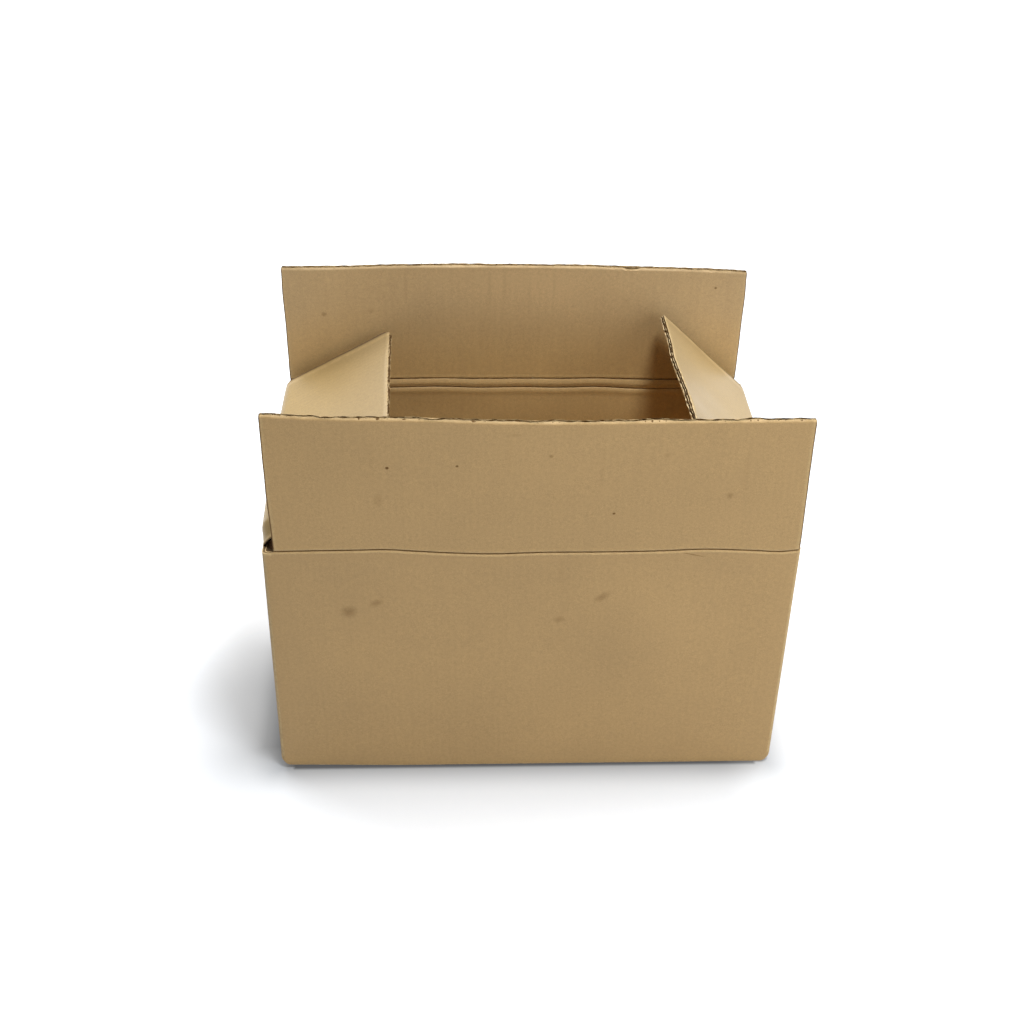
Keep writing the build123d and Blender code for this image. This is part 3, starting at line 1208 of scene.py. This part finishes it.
@dataclass
class ShortFlap(Flap):
    """The left or right flap, which rolls inwards above its fold line.

    Each of these pairs of numbers is for the back and for the front end, but for the lip.

    Attributes:
        slope: Degrees above level.
        roll_start: Where the roll begins.
        roll_length: How much of the sheet it takes.
        foot: Degrees that the sheet leans inwards under the roll.
        lip: Degrees that the sheet leans inwards at once at its very front, and over what length.
        front_sign: 1 where the front end lies at the larger places along the fold.
    """

    slope: Pair = (29.0, 27.0)
    roll_start: Pair = (6.0, 1.0)
    roll_length: Pair = (22.0, 16.0)
    foot: Pair = (0.0, 0.0)
    lip: Pair = (0.0, 1.0)
    front_sign: int = 1

    def bend(self, along: np.ndarray, up: np.ndarray) -> np.ndarray:
        """A leaning foot at the fold, then a soft roll, then straight at its slope."""
        place = (self.front_sign * self.fold.share(along) + 1) / 2
        slope, start, length, foot = (
            pair[0] + (pair[1] - pair[0]) * place
            for pair in (self.slope, self.roll_start, self.roll_length, self.foot)
        )
        lip = smooth(1 - (1 - place) * self.fold.length / self.lip[1])
        foot = foot + (self.lip[0] - foot) * lip
        share = np.clip((up - start * (1 - lip)) / length, 0, 1)
        roll = 0.55 * share + 0.45 * smooth(share)
        foot_turn = np.radians(foot) * (1 - roll) * smooth(up / 2.0 + 0.3)
        waves = np.radians(Waviness(self.seed, 160.0, 0.8).at(along, up)) * smooth((up - 20) / 40)
        return np.radians(90 - slope) * roll + foot_turn + waves


@dataclass(frozen=True)
class Plan:
    """The sleeve seen from above.

    Attributes:
        line: Points of its outer face.
        outward: Direction away from the board at each point.
        sharp: How far the outer face stands out further, at a crisp fold.
        walls: Number of the wall that each point is on, from the back round to the right, then the tab.
    """

    line: np.ndarray
    outward: np.ndarray
    sharp: np.ndarray
    walls: np.ndarray

    @property
    def run(self) -> np.ndarray:
        """Distance along the line."""
        return travelled(*self.line.T)

    def places(self) -> tuple[np.ndarray, ...]:
        """Place of each point along each of the four fold lines."""
        x, y = self.line.T
        return -x, -y, x, y


@dataclass
class Carton:
    """The sleeve of four walls with its glue tab, and the base of four flaps.

    Attributes:
        folds: The four fold lines, from the back round to the right.
        finishes: Material of each paper.
        length: Over the left and right walls.
        width: Over the front and back walls.
        fold: Radius of the outer face at an upright fold.
        crisp: How far that face's radius is smaller where the fold is pressed sharp.
        wall_foot: Height at which the base panels hand over to the sleeve.
        corner: Radius of the base panels' rounded corners.
        layer_gap: Between two layers of board.
        tab: Length of the glue tab.
        base_reach: Of the short base flaps, from the walls inwards.
        seam_gap: Between the two long base flaps.
    """

    STEP = 4.5  # distance between points along a wall
    ARC = 12  # steps round an upright fold
    CALM = (70.0, 50.0, 40.0)  # distances from a fold, the foot and the top over which the waves grow
    DISHED = 0.9  # how far the walls' waves go, about a middle that lies as far inwards
    ROOT = 26.0  # distance below the fold line over which the crease's shape is felt
    # Painted black shade on the sleeve's inner face, in the slot at the left front corner
    SHADED_SLOT_FROM = (226.0, 112.0)  # distances to the left and to the front at which the dark slot begins
    SHADED_SLOT_OVER = 10.0  # distance over which it darkens
    SHADED_SLOT_DEPTH = (34.0, 14.0)  # how far down it is dark, and over what height that fades

    folds: tuple[FoldLine, FoldLine, FoldLine, FoldLine]
    finishes: Finishes
    length: float = 514.0
    width: float = 314.0
    fold: float = 8.0
    crisp: float = 3.5
    wall_foot: float = 15.3
    corner: float = 4.0
    layer_gap: float = 0.3
    tab: float = 35.0
    base_reach: float = 150.0
    seam_gap: float = 4.0

    def plan(self) -> Plan:
        """Outer line of the sleeve seen from above, from the back wall's free end round to the tab."""
        x, y = self.length / 2, self.width / 2
        lengths = (
            2 * x - self.fold - self.layer_gap, 2 * y - 2 * self.fold, 2 * x - 2 * self.fold,
            2 * y - 2 * self.fold - GAUGE.board, self.tab,
        )
        turns = np.radians(90 * np.arange(1, self.ARC) / self.ARC)
        spot = np.array([x - self.layer_gap, y])
        points = []
        for wall, length in enumerate(lengths):
            heading = math.pi * (1 + wall / 2)
            ahead = np.array([math.cos(heading), math.sin(heading)])
            side = np.array([ahead[1], -ahead[0]])
            for share in np.linspace(0, 1, int(length / self.STEP) + 2):
                points.append((spot + ahead * length * share, side, 0 * side, wall))
            centre = spot + ahead * length - self.fold * side
            spot = centre + self.fold * ahead
            if wall == len(lengths) - 1:
                break
            for angle in heading + turns:
                away = np.array([math.sin(angle), -math.cos(angle)])
                points.append((centre + self.fold * away, away, self.crisp * (side + ahead - away), wall))
        return Plan(*(np.array(part) for part in zip(*points)))

    def on_fold(self, plan: Plan) -> np.ndarray:
        """1 where a flap joins the wall, and 0 at the slots and corners between the flaps."""
        share = np.zeros(len(plan.line))
        for number, (fold, place) in enumerate(zip(self.folds, plan.places())):
            inside = smooth((fold.half + 1.5 - np.abs(place - fold.middle)) / 3.0)
            share = np.where(plan.walls == number, inside, share)
        return share

    def top_line(self, plan: Plan, depth: float) -> np.ndarray:
        """Height of the walls' top edge over the fold line, at a depth in the board."""
        rise = np.zeros(len(plan.line))
        for number, (fold, place) in enumerate(zip(self.folds, plan.places())):
            rise = np.where(plan.walls == number, fold.crease(place, depth), rise)
        return rise * self.on_fold(plan)

    def wall_wear_and_shading(self, plan: Plan, gap: np.ndarray, folded: np.ndarray) -> np.ndarray:
        """How the sleeve is marked: paler where scuffed at its upright folds and along the slots; a painted
        dark line and a painted pale strip on the rounding of the front's upright folds; painted shade in its
        creases, with a painted highlight just below them.

        Args:
            plan: The sleeve seen from above.
            gap: Distance of each row from the fold line.
            folded: 1 for each point of the plan where a flap joins the wall.

        Returns:
            The marking and painted shading by point of the plan and by row.
        """
        past, facing = np.abs(plan.outward[:, 0]), plan.outward[:, 1]
        turning = smooth(np.abs(plan.outward[:, 0] * facing) / 0.3)
        # A painted dark line on each of the front's upright folds where it turns onto the side wall, and a
        # painted pale strip on the middle of the rounding
        pressed = turning * (facing < 0) * (0.7 * bump(past, 0.93, 0.1) - 0.3 * bump(past, 0.45, 0.2))
        wear_and_shading = (0.5 * turning**4 - pressed)[:, None]
        # A painted highlight just below the crease, and painted shade in the crease itself
        wear_and_shading = wear_and_shading + 0.5 * bump(gap, 1.8, 1.0) - 0.95 * bump(gap, 0.0, 0.5) * folded
        return np.clip(wear_and_shading + 0.8 * (1 - folded) * bump(gap, 0.0, 1.2), -1, 1)

    def walls(self) -> Slab:
        """The sleeve, from the foot of the walls up to the fold lines."""
        plan = self.plan()
        top = RACKING.level
        rows = np.concatenate([
            [self.wall_foot, 17.0, 20.0], np.arange(26.0, top - 16.0, 8.0),
            [top - gap for gap in (13.0, 10.0, 7.5, 5.5, 4.0, 3.0, 2.2, 1.5, 1.0, 0.6, 0.3, 0.0)],
        ])
        gap = (top - rows)[None, :]
        folded = self.on_fold(plan)[:, None]
        starts = plan.run[np.flatnonzero(np.diff(plan.walls, prepend=-1))]
        corner = np.min(np.abs(plan.run[:, None] - starts + self.fold), axis=1)
        aside, above, below = self.CALM
        calm = smooth(corner / aside)[:, None] * smooth((rows - 14) / above) * smooth(gap / below)
        dish = calm * (Waviness(11, 230.0, self.DISHED).at(plan.run[:, None], rows[None, :]) - self.DISHED)
        outer = dish - pressed_line(gap, 0.35) * folded
        inner = dish + (1.5 * bump(gap, 0.0, 0.5) - 0.8 * bump(gap, 4.8, 3.2)) * folded
        lift = smooth((self.ROOT - gap) / self.ROOT)
        grids = []
        for depth, push, line in ((0.0, outer, plan.line + plan.sharp), (GAUGE.board, inner, plan.line)):
            flat = line[:, None, :] + plan.outward[:, None, :] * (push - depth)[:, :, None]
            rise = rows[None, :] + self.top_line(plan, depth)[:, None] * lift
            grids.append(np.concatenate([flat, rise[:, :, None]], axis=2))
        wear_and_shading = self.wall_wear_and_shading(plan, gap, folded)
        # Painted black shade on the inner face in the slot at the left front corner, where the left flap's
        # front end shades it
        left, front = (smooth(value / self.SHADED_SLOT_OVER) for value in (-plan.line - self.SHADED_SLOT_FROM).T)
        deep, fade = self.SHADED_SLOT_DEPTH
        slot = (left * front)[:, None] * smooth((deep - gap) / fade)
        spread, height = np.meshgrid(plan.run, rows, indexing="ij")
        return Slab(*grids, spread, height, wear_and_shading, far_wear_and_shading=wear_and_shading * (1 - slot) - 2.0 * slot)

    def base_profile(self, level: float, reach: float) -> tuple[np.ndarray, ...]:
        """A base flap with the fold and the foot of its wall, seen from its end.

        Args:
            level: Height of its underside.
            reach: From the wall's outer face to its free edge.

        Returns:
            For each point its distance inwards, its height, the inward and upward parts of the
            direction away from the board, and how far a crisp fold moves it outwards and down.
        """
        tip = [reach - gap for gap in (0.0, 0.5, 1.5, 4.0)]
        flat = (*tip, *np.linspace(reach - 10, self.fold + 6, 16), self.fold + 2.0)
        points = [(spot, level, 0.0, -1.0, 0.0, 0.0) for spot in flat]
        for angle in np.radians(np.linspace(0, 90, 13)):
            back, down = 1 - math.sin(angle), 1 - math.cos(angle)
            points.append((
                self.fold * back, level + self.fold * down, back - 1, down - 1,
                self.crisp * back * (back < 0.99), self.crisp * down * (down < 0.99),
            ))
        if self.wall_foot > level + self.fold + 0.5:
            for spot in np.linspace(level + self.fold + 1.5, self.wall_foot, 4):
                points.append((0.0, spot, -1.0, 0.0, 0.0, 0.0))
        return tuple(np.array(points).T)

    def base_panel(self, turn: int, wall: float, half: float, level: float, reach: float) -> Slab:
        """A base flap with the fold and the foot of its wall.

        Args:
            turn: Degrees from the front wall.
            wall: Distance of the wall's outer face from the middle.
            half: Half the flap's length along its fold.
            level: Height of its underside.
            reach: From the wall's outer face to its free edge.

        Returns:
            The slab.
        """
        place = FoldLine(turn, wall, 0.0, 2 * half, level=0.0)
        inward, height, out_in, out_up, sharp, drop = self.base_profile(level, reach)
        rise = travelled(inward, height)
        corner = rounded(1 - (height - level) / self.corner, self.corner)
        corner = corner * (1 - 0.75 * smooth((inward - self.fold) / 15.0))
        ends = np.array([0.0, 0.4, 0.9, 1.6, 2.4, 3.4, 4.6]) / half
        middle = np.linspace(-1 + 7.0 / half, 1 - 7.0 / half, int(half / 4))
        columns = np.concatenate([-1 + ends, middle, 1 - ends[::-1]])
        along = columns[:, None] * (half - corner)[None, :]
        wrapped = 0.0
        if turn in (0, 180):
            bend = self.fold - self.crisp
            past = np.clip(np.abs(along) - (self.length / 2 - bend), 0, bend * 0.98)
            wrapped = bend - np.sqrt(bend**2 - past**2)
        lift = np.maximum(Waviness(turn + 400, 180.0, 0.35).at(along, rise[None, :]) + 0.35, 0.0)
        raised = lift * smooth((rise[-1] - rise) / 60.0) * smooth(inward / 30.0)
        round_off = 0.175 * (1 - smooth(rise / 20.0))
        near = place.world(along, inward - sharp + wrapped, height - drop + raised + round_off)
        inside, over = inward - out_in * GAUGE.board, height - out_up * GAUGE.board
        far = place.world(along, inside + 0 * along, over + raised - round_off)
        # A painted highlight just above the floor along the bottom fold, and painted contact shade where the
        # fold meets the floor
        bent = 0.9 * bump(height - level, 3.2, 1.7) - 1.2 * bump(height - level, 0.2, 1.3)
        wear_and_shading = bent * (inward < self.fold) + 0.6 * bump(rise, 0.0, 1.6)
        wear_and_shading = wear_and_shading + 0.5 * bump(half - np.abs(along), 0.0, 1.5)
        return Slab(near, far, along + turn * 10, rise + 0 * along, np.clip(wear_and_shading, -1, 1))

    def make(self) -> list[bpy.types.Object]:
        """Build the sleeve and the base and join them to the CAD body."""
        sheet = Sheet("carton_board", self.finishes)
        sheet.add(self.walls())
        x, y = self.length / 2, self.width / 2
        for turn in (0, 180):
            sheet.add(self.base_panel(turn, y, x, 0.0, y - self.seam_gap / 2))
        short_level = GAUGE.board + self.layer_gap
        for turn in (-90, 90):
            sheet.add(self.base_panel(turn, x, y - self.fold, short_level, GAUGE.board + self.base_reach))
        piece = sheet.build()
        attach(piece, "carton")
        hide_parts("carton")
        return [piece]


@dataclass(frozen=True)
class Camera:
    """The photo's view.

    Attributes:
        place: In metres.
        pitch: Degrees that it looks down.
        yaw: Degrees that it is turned to the right.
        roll: Degrees that it is tilted.
        focal: Focal length, in widths of the picture.
        rise: How far the picture is shifted up, in its own width.
    """

    place: Triple = (-0.0755, -1.3043, 1.1505)
    pitch: float = 34.00
    yaw: float = 2.71
    roll: float = 1.25
    focal: float = 1503.3 / 1024
    rise: float = -40 / 1024

    def build(self) -> None:
        """Make the camera and let the scene use it."""
        pitch, yaw, roll = (math.radians(angle) for angle in (self.pitch, self.yaw, self.roll))
        ahead = Vector((math.sin(yaw) * math.cos(pitch), math.cos(yaw) * math.cos(pitch), -math.sin(pitch)))
        level = Vector((math.cos(yaw), -math.sin(yaw), 0.0))
        upright = level.cross(ahead)
        right = level * math.cos(roll) + upright * math.sin(roll)
        up = upright * math.cos(roll) - level * math.sin(roll)
        lens = bpy.data.cameras.new("camera")
        lens.sensor_width = 36.0
        lens.lens = self.focal * lens.sensor_width
        lens.shift_y = self.rise
        lens.clip_end = 50.0
        camera = placed("camera", lens)
        turned = Matrix((right, up, -ahead)).transposed()
        camera.matrix_world = Matrix.Translation(self.place) @ turned.to_4x4()
        bpy.context.scene.camera = camera


@dataclass(frozen=True)
class Lamp:
    """A soft square white lamp that shines at the carton."""

    name: str
    place: Triple
    size: float
    power: float
    aim: Triple = (0.0, 0.0, 0.2)

    def build(self) -> None:
        """Make the lamp."""
        light = bpy.data.lights.new(self.name, "AREA")
        light.shape = "SQUARE"
        light.size = self.size
        light.energy = self.power
        lamp = placed(self.name, light)
        lamp.location = self.place
        direction = Vector(self.aim) - Vector(self.place)
        lamp.rotation_euler = direction.to_track_quat("-Z", "Y").to_euler()


@dataclass(frozen=True)
class Studio:
    """White floor, white surroundings, lamps and camera, all in metres.

    Each glow is a smooth change of the light that the floor gives off to the eye and in reflections: where it
    starts and ends, and the light before and after it. Uneven as they are, the glows are painted light: they
    whiten parts of the carton's real shadow and leave the floor darker close to it. The painted soft shadow
    and the painted dark line under the carton are given by their reach, and by how much of the floor's seen
    colour they take away.

    Attributes:
        camera: The photo's view.
        lamps: The lamps.
        sky: Strength of the even light from all round.
        footprint: Half the carton's length and half its width.
        floor_size: Half the floor's length.
        near_glow: By the distance from the carton, close to it.
        far_glow: The same, further away.
        left_glow: By the distance to the left, at the back.
        back_glow: Share of that one, by the distance to the back.
        right_glow: By the distance to the right.
        floor_colour: The floor for the light that it throws back.
        shaded_tint: The floor as it is seen, before the painted shadows darken it.
        shade: Two opposite corners of the middle of the painted soft shadow.
        shade_reach: How far it goes beyond them.
        shade_power: How quickly it fades.
        contact_inset: From the carton's ends to the ends of the painted dark line.
        contact_reach: How far the painted dark line goes beyond the carton.
        darkest: How much of the colour either painted shadow takes away.
    """

    camera: Camera
    lamps: tuple[Lamp, ...]
    sky: float = 0.10
    footprint: Pair = (0.257, 0.157)
    floor_size: float = 6.0
    near_glow: tuple[float, ...] = (-0.02, 0.04, 0.0, 0.3765)
    far_glow: tuple[float, ...] = (0.35, 1.9, 0.0, 1.0)
    left_glow: tuple[float, ...] = (0.2, 0.26, 0.0, 0.31)
    back_glow: tuple[float, ...] = (-0.043, 0.114, 0.0, 1.0)
    right_glow: tuple[float, ...] = (0.2, 0.26, 0.0, 0.11)
    floor_colour: Triple = (0.8, 0.8, 0.8)
    shaded_tint: Triple = (0.765, 0.80, 0.845)
    shade: tuple[Pair, Pair] = ((-0.278, -0.125), (0.206, 0.027))
    shade_reach: float = 0.3
    shade_power: float = 3.15
    contact_inset: float = 0.014
    contact_reach: float = 0.0035
    darkest: float = 0.9

    def outside(self, shader: Shader, low: Pair, high: Pair) -> Value:
        """Distance of each place on the floor from a rectangle.

        Args:
            shader: The floor's shader.
            low: The rectangle's corner at the smaller X and Y.
            high: Its corner at the larger X and Y.

        Returns:
            The distance in metres, 0 inside the rectangle.
        """
        total: Value | float = 0.0
        for place, start, end in zip(shader.axes(), low, high):
            gap = (start - place).most(place - end).most(0.0)
            total = gap * gap + total
        return total**0.5

    def glow(self, shader: Shader) -> Value:
        """Light that the floor gives off: far away it makes the floor evenly white; closer in it is painted
        light that lifts the carton's shadow at the left back and on the right, and leaves the floor darker
        near the carton.
        """
        x, y = self.footprint
        across, back, _ = shader.axes()
        distance = self.outside(shader, (-x, -y), (x, y))
        glow = distance.ramp(*self.near_glow) + distance.ramp(*self.far_glow)
        left = (across * -1.0).ramp(*self.left_glow) * back.ramp(*self.back_glow)
        return glow + left + across.ramp(*self.right_glow)

    def kept(self, shader: Shader) -> Value:
        """Share of the floor's seen colour that the painted soft shadow and the painted dark line under the
        carton leave.
        """
        x, y = self.footprint
        near = (1.0 - self.outside(shader, *self.shade) / self.shade_reach).most(0.0) ** self.shade_power
        under = self.outside(shader, (self.contact_inset - x, -y), (x - self.contact_inset, y))
        touching = (1.0 - under / self.contact_reach).most(0.0)
        return (1.0 - near * self.darkest) * (1.0 - touching * self.darkest)

    def floor(self) -> bpy.types.Object:
        """A wide floor that looks white, keeps the carton's real shadow and shows a painted shadow round its
        foot.
        """
        mesh = bpy.data.meshes.new("floor")
        half = self.floor_size
        corners = [(-half, -half, 0.0), (half, -half, 0.0), (half, half, 0.0), (-half, half, 0.0)]
        mesh.from_pydata(corners, [], [(0, 1, 2, 3)])
        shader = Shader("floor paint")
        seen = shader.seen_by("Camera", "Glossy", "Transmission")
        # The colour that the eye sees carries the painted shadow; the light that the floor throws back does
        # not
        shaded = shader.tint(rgba(self.shaded_tint), self.kept(shader))
        shader.dress(shader.mix(rgba(self.floor_colour), shaded, seen), 1.0, 0.0)
        white = shader.tint(rgba((1.0, 1.0, 1.0)), self.glow(shader) * seen)
        shader.feed(shader.surface, {"Emission Color": white, "Emission Strength": 1.0})
        mesh.materials.append(shader.material)
        floor = placed("floor", mesh)
        return floor

    def surroundings(self) -> None:
        """White to the eye, and a soft even light on the carton."""
        world = bpy.data.worlds.new("surroundings")
        world.use_nodes = True
        nodes = Nodes(world.node_tree)
        sockets = {0: nodes.seen_by("Camera", "Glossy")}
        for key, strength in ((1, self.sky), (2, 1.0)):
            light = {"Color": rgba((1.0, 1.0, 1.0)), "Strength": strength}
            sockets[key] = nodes.out("ShaderNodeBackground", None, light)
        mix = nodes.out("ShaderNodeMixShader", None, sockets)
        nodes.node("ShaderNodeOutputWorld", None, {0: mix})
        bpy.context.scene.world = world

    def build(self) -> None:
        """Make everything that isn't the carton."""
        self.floor()
        self.surroundings()
        for lamp in self.lamps:
            lamp.build()
        self.camera.build()
        bpy.context.scene.view_settings.view_transform = "Standard"


# Marks, as places on the front
WALL_MARKS = (
    Mark(-177.9, 210.1, 11.0, 10.0, 0.42, 10.0, 0.95),
    Mark(-151.1, 221.2, 11.0, 6.0, 0.34, 25.0, 0.95),
    Mark(69.7, 227.7, 13.0, 6.0, 0.36, 40.0, 0.95),
    Mark(28.6, 199.0, 8.5, 5.5, 0.30, 20.0, 0.95),
    # A thin dark line just below the front fold line, along a small second crease: painted shade
    Mark(155.0, 278.8, 15.0, 0.9, 0.5, -14.0, 0.6),
    Mark(229.0, 151.0, 1.4, 16.0, 0.08),
    Mark(28.0, 262.0, 5.0, 22.0, 0.05),
)
FRONT_FLAP_MARKS = (
    Mark(-135.9, 382.0, 2.2, 2.0, 0.95, 0.0, 0.6),
    Mark(-71.8, 383.9, 1.8, 1.6, 0.85, 0.0, 0.6),
    Mark(75.8, 328.7, 2.0, 1.8, 0.9, 0.0, 0.6),
    Mark(14.3, 394.4, 3.0, 2.4, 0.4),
    Mark(183.8, 348.7, 4.5, 6.0, 0.3),
    Mark(121.0, 395.0, 5.0, 4.0, 0.14),
    Mark(-145.3, 345.1, 6.0, 10.0, 0.16),
    Mark(-20.0, 418.0, 9.0, 2.2, 0.14),
    Mark(-24.0, 396.0, 3.0, 30.0, 0.05),
    Mark(62.0, 380.0, 4.0, 40.0, 0.05),
    Mark(-150.0, 390.0, 4.0, 34.0, 0.04),
    Mark(196.0, 376.0, 4.0, 38.0, 0.05),
)
BACK_FLAP_MARKS = (
    Mark(-214.1, 378.5, 4.2, 4.0, 0.36),
    Mark(-163.2, 382.2, 5.0, 4.0, 0.16),
    Mark(209.1, 410.9, 2.0, 1.8, 0.7, 0.0, 0.6),
    Mark(-125.7, 412.0, 3.0, 24.0, 0.10),
    Mark(-35.0, 405.0, 3.4, 32.0, 0.08),
    Mark(-18.9, 408.0, 3.0, 26.0, 0.07),
    Mark(7.9, 400.0, 3.2, 38.0, 0.08),
    Mark(34.7, 409.0, 2.6, 26.0, 0.07),
    Mark(-210.0, 400.0, 3.0, 26.0, 0.05),
    # A broad pale patch over the middle and top of the back flap's inner face: painted light
    Mark(20.0, 408.0, 200.0, 60.0, -0.20, 0.0, 1.0),
)

# Heights of the creases and free edges along X, from the fold line or the plain reach
FRONT_CREASE = Line((
    (-252.0, 2.2), (-205.0, 2.9), (-162.0, 3.4), (-142.0, 3.8), (-112.0, 1.6), (-84.0, -0.4), (-36.0, -2.2),
    (7.0, -0.9), (70.0, -0.8), (127.0, 0.3), (154.0, 1.6), (210.0, -0.2), (238.0, -1.7), (256.0, 0.4),
))
FRONT_INNER_CREASE = Line(((-250.0, 0.5), (0.0, -0.8), (250.0, 0.4)))
BACK_CREASE = Line((
    (-252.0, 0.5), (-143.0, 0.6), (-90.0, 1.7), (-45.0, 0.2), (0.0, 0.8), (45.0, 0.0), (90.0, 0.9),
    (136.0, -1.6), (190.0, -1.2), (240.0, 0.0),
))
BACK_OUTER_CREASE = Line(((-250.0, 0.4), (0.0, -0.6), (250.0, 0.3)))
FRONT_EDGE = Line(((-248.0, 5.8), (-200.0, 3.7), (-123.0, 3.0), (4.0, -1.0), (131.0, -0.1), (255.0, -1.0)))
BACK_EDGE = Line(((-240.0, -0.4), (-136.0, 1.2), (-18.0, 2.9), (131.0, 3.3), (240.0, 3.7), (257.0, 4.4)))

# How far the side edges of the long flaps are moved to the larger places, going up
FRONT_LEFT_END = Line(((0.0, 2.3), (10.0, 2.1), (30.0, 1.4), (60.0, -0.2), (90.0, -0.7), (149.0, -1.0)))
BACK_RIGHT_END = Line(((0.0, -5.3), (60.0, -5.0), (149.0, -3.9)))
BACK_LEFT_END = Line(((0.0, -0.3), (60.0, -0.6), (149.0, -0.3)))


def build_carton() -> list[bpy.types.Object]:
    """Build the sleeve, the base and the four flaps.

    Returns:
        All pieces of the object.
    """
    rim = Fibre("liner rim", LINER_RIM).build()
    pale_rim = Fibre("pale liner rim", LINER_RIM_PALE).build()
    medium = Fibre("fluting paper", FLUTING).build()
    pale_medium = Fibre("pale fluting paper", FLUTING_PALE).build()
    edge = CutEdge("cut edge").build()
    outside = Kraft("outer kraft liner", KRAFT_OUT).build()
    # The inner liner grows brighter to the right: painted light
    inside = Kraft(
        "inner kraft liner", KRAFT_IN, GAUGE.inner_pitch, streaks=0.08, roughness=0.62, painted_light_slope=0.6,
    ).build()
    # The short flaps' liner turns brighter towards the roots: painted light
    short_paper = Kraft(
        "outer kraft liner of the short flaps", KRAFT_SHORT, fade=PaintedLighting(KRAFT_SHORT_ROOT, 0, 0.14, 0.26),
    ).build()
    # The walls' liner grows brighter to the right: painted light
    wall_paper = Kraft(
        "outer kraft liner of the walls", KRAFT_OUT, marks=WALL_MARKS, marks_before=-140.0,
        roughness=0.6, gloss=0.45, painted_light_slope=0.26,
    ).build()
    # The front flap's liner grows brighter to the right: painted light
    front_paper = Kraft(
        "outer kraft liner of the front flap", KRAFT_OUT, marks=FRONT_FLAP_MARKS,
        roughness=0.6, gloss=0.45, painted_light_slope=0.2,
    ).build()
    # The back flap's inner liner grows brighter to the right, less saturated towards its top and paler in a
    # broad patch: painted light and shade
    back_paper = Kraft(
        "inner kraft liner of the back flap", KRAFT_BACK, GAUGE.inner_pitch, marks=BACK_FLAP_MARKS,
        streaks=0.1, roughness=0.62, painted_light_slope=0.15, fade=PaintedLighting(KRAFT_BACK_TOP, 2, 0.30, 0.40),
    ).build()
    front_fold = FoldLine(0, 157.0, 3.5, 503.0, FRONT_CREASE, FRONT_INNER_CREASE)
    back_fold = FoldLine(180, 157.0, 7.0, 499.0, BACK_OUTER_CREASE, BACK_CREASE.mirrored())
    left_fold = FoldLine(-90, 257.0, 5.75, 277.5)
    right_fold = FoldLine(90, 257.0, -5.75, 277.5)
    sleeve = dict(zip(Finish, (wall_paper, inside, edge, medium)))
    pieces = Carton((back_fold, left_fold, front_fold, right_fold), sleeve).make()
    flaps = (
        LongFlap(
            "front_flap", front_fold, 149.0, dict(zip(Finish, (front_paper, inside, rim, medium))), 21,
            edge=FRONT_EDGE, tips=(1.7, 2.5), ends=(FRONT_LEFT_END, Line()), belly=1.5,
        ),
        LongFlap(
            "back_flap", back_fold, 149.0, dict(zip(Finish, (outside, back_paper, rim, pale_medium))), 34,
            edge=BACK_EDGE, tips=(1.4, 1.1), lightening=0.4, open_edge=(-120.0, 9.0, 1.8), second_crease=11.8,
            corner=1.5, ends=(BACK_RIGHT_END, BACK_LEFT_END), lean=3.5, belly=3.0,
        ),
        ShortFlap(
            "left_flap", left_fold, 149.7, dict(zip(Finish, (short_paper, inside, rim, medium))), 47,
            tips=(0.6, 0.9), scallop=1.1, lightening=0.3, corner=7.0, outline=(4.2, 1.2), crushed=(0.0, 4.2),
            slot_shade=1.0, slope=(29.7, 23.5), roll_start=(4.9, 4.8), roll_length=(22.0, 22.5),
            foot=(-10.5, -9.8), lip=(30.0, 16.0),
        ),
        ShortFlap(
            "right_flap", right_fold, 143.8, dict(zip(Finish, (short_paper, inside, pale_rim, medium))), 58,
            tips=(0.7, 1.6), inner_liner=0.8, torn=0.5, corner=3.5, outline=(2.0, 4.2), slope=(43.5, 46.3),
            roll_start=(1.5, 2.6), roll_length=(17.1, 11.4), foot=(10.5, 4.0), front_sign=-1,
        ),
    )
    row = FluteRow()
    for flap in flaps:
        pieces += flap.make(row)
    return pieces


def report(pieces: list[bpy.types.Object]) -> None:
    """Log the name and number of triangles of each piece."""
    for piece in pieces:
        piece.data.calc_loop_triangles()
        LOG.info("%s: %d triangles", piece.name, len(piece.data.loop_triangles))


def main() -> None:
    """Build the carton on its frame, and the studio round it."""
    logging.basicConfig(level=logging.INFO, format="%(name)s: %(message)s")
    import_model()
    report(build_carton())
    lamps = (
        Lamp("key", (0.33, -0.68, 2.2), 0.42, 35.9),
        Lamp("back left", (-0.8, 0.9, 2.0), 1.2, 32.8),
        Lamp("front right", (1.6, -2.2, 1.2), 1.4, 19.9),
        Lamp("right back", (1.4, 0.6, 1.6), 1.0, 12.7),
    )
    Studio(Camera(), lamps).build()


if __name__ == "__main__":
    main()
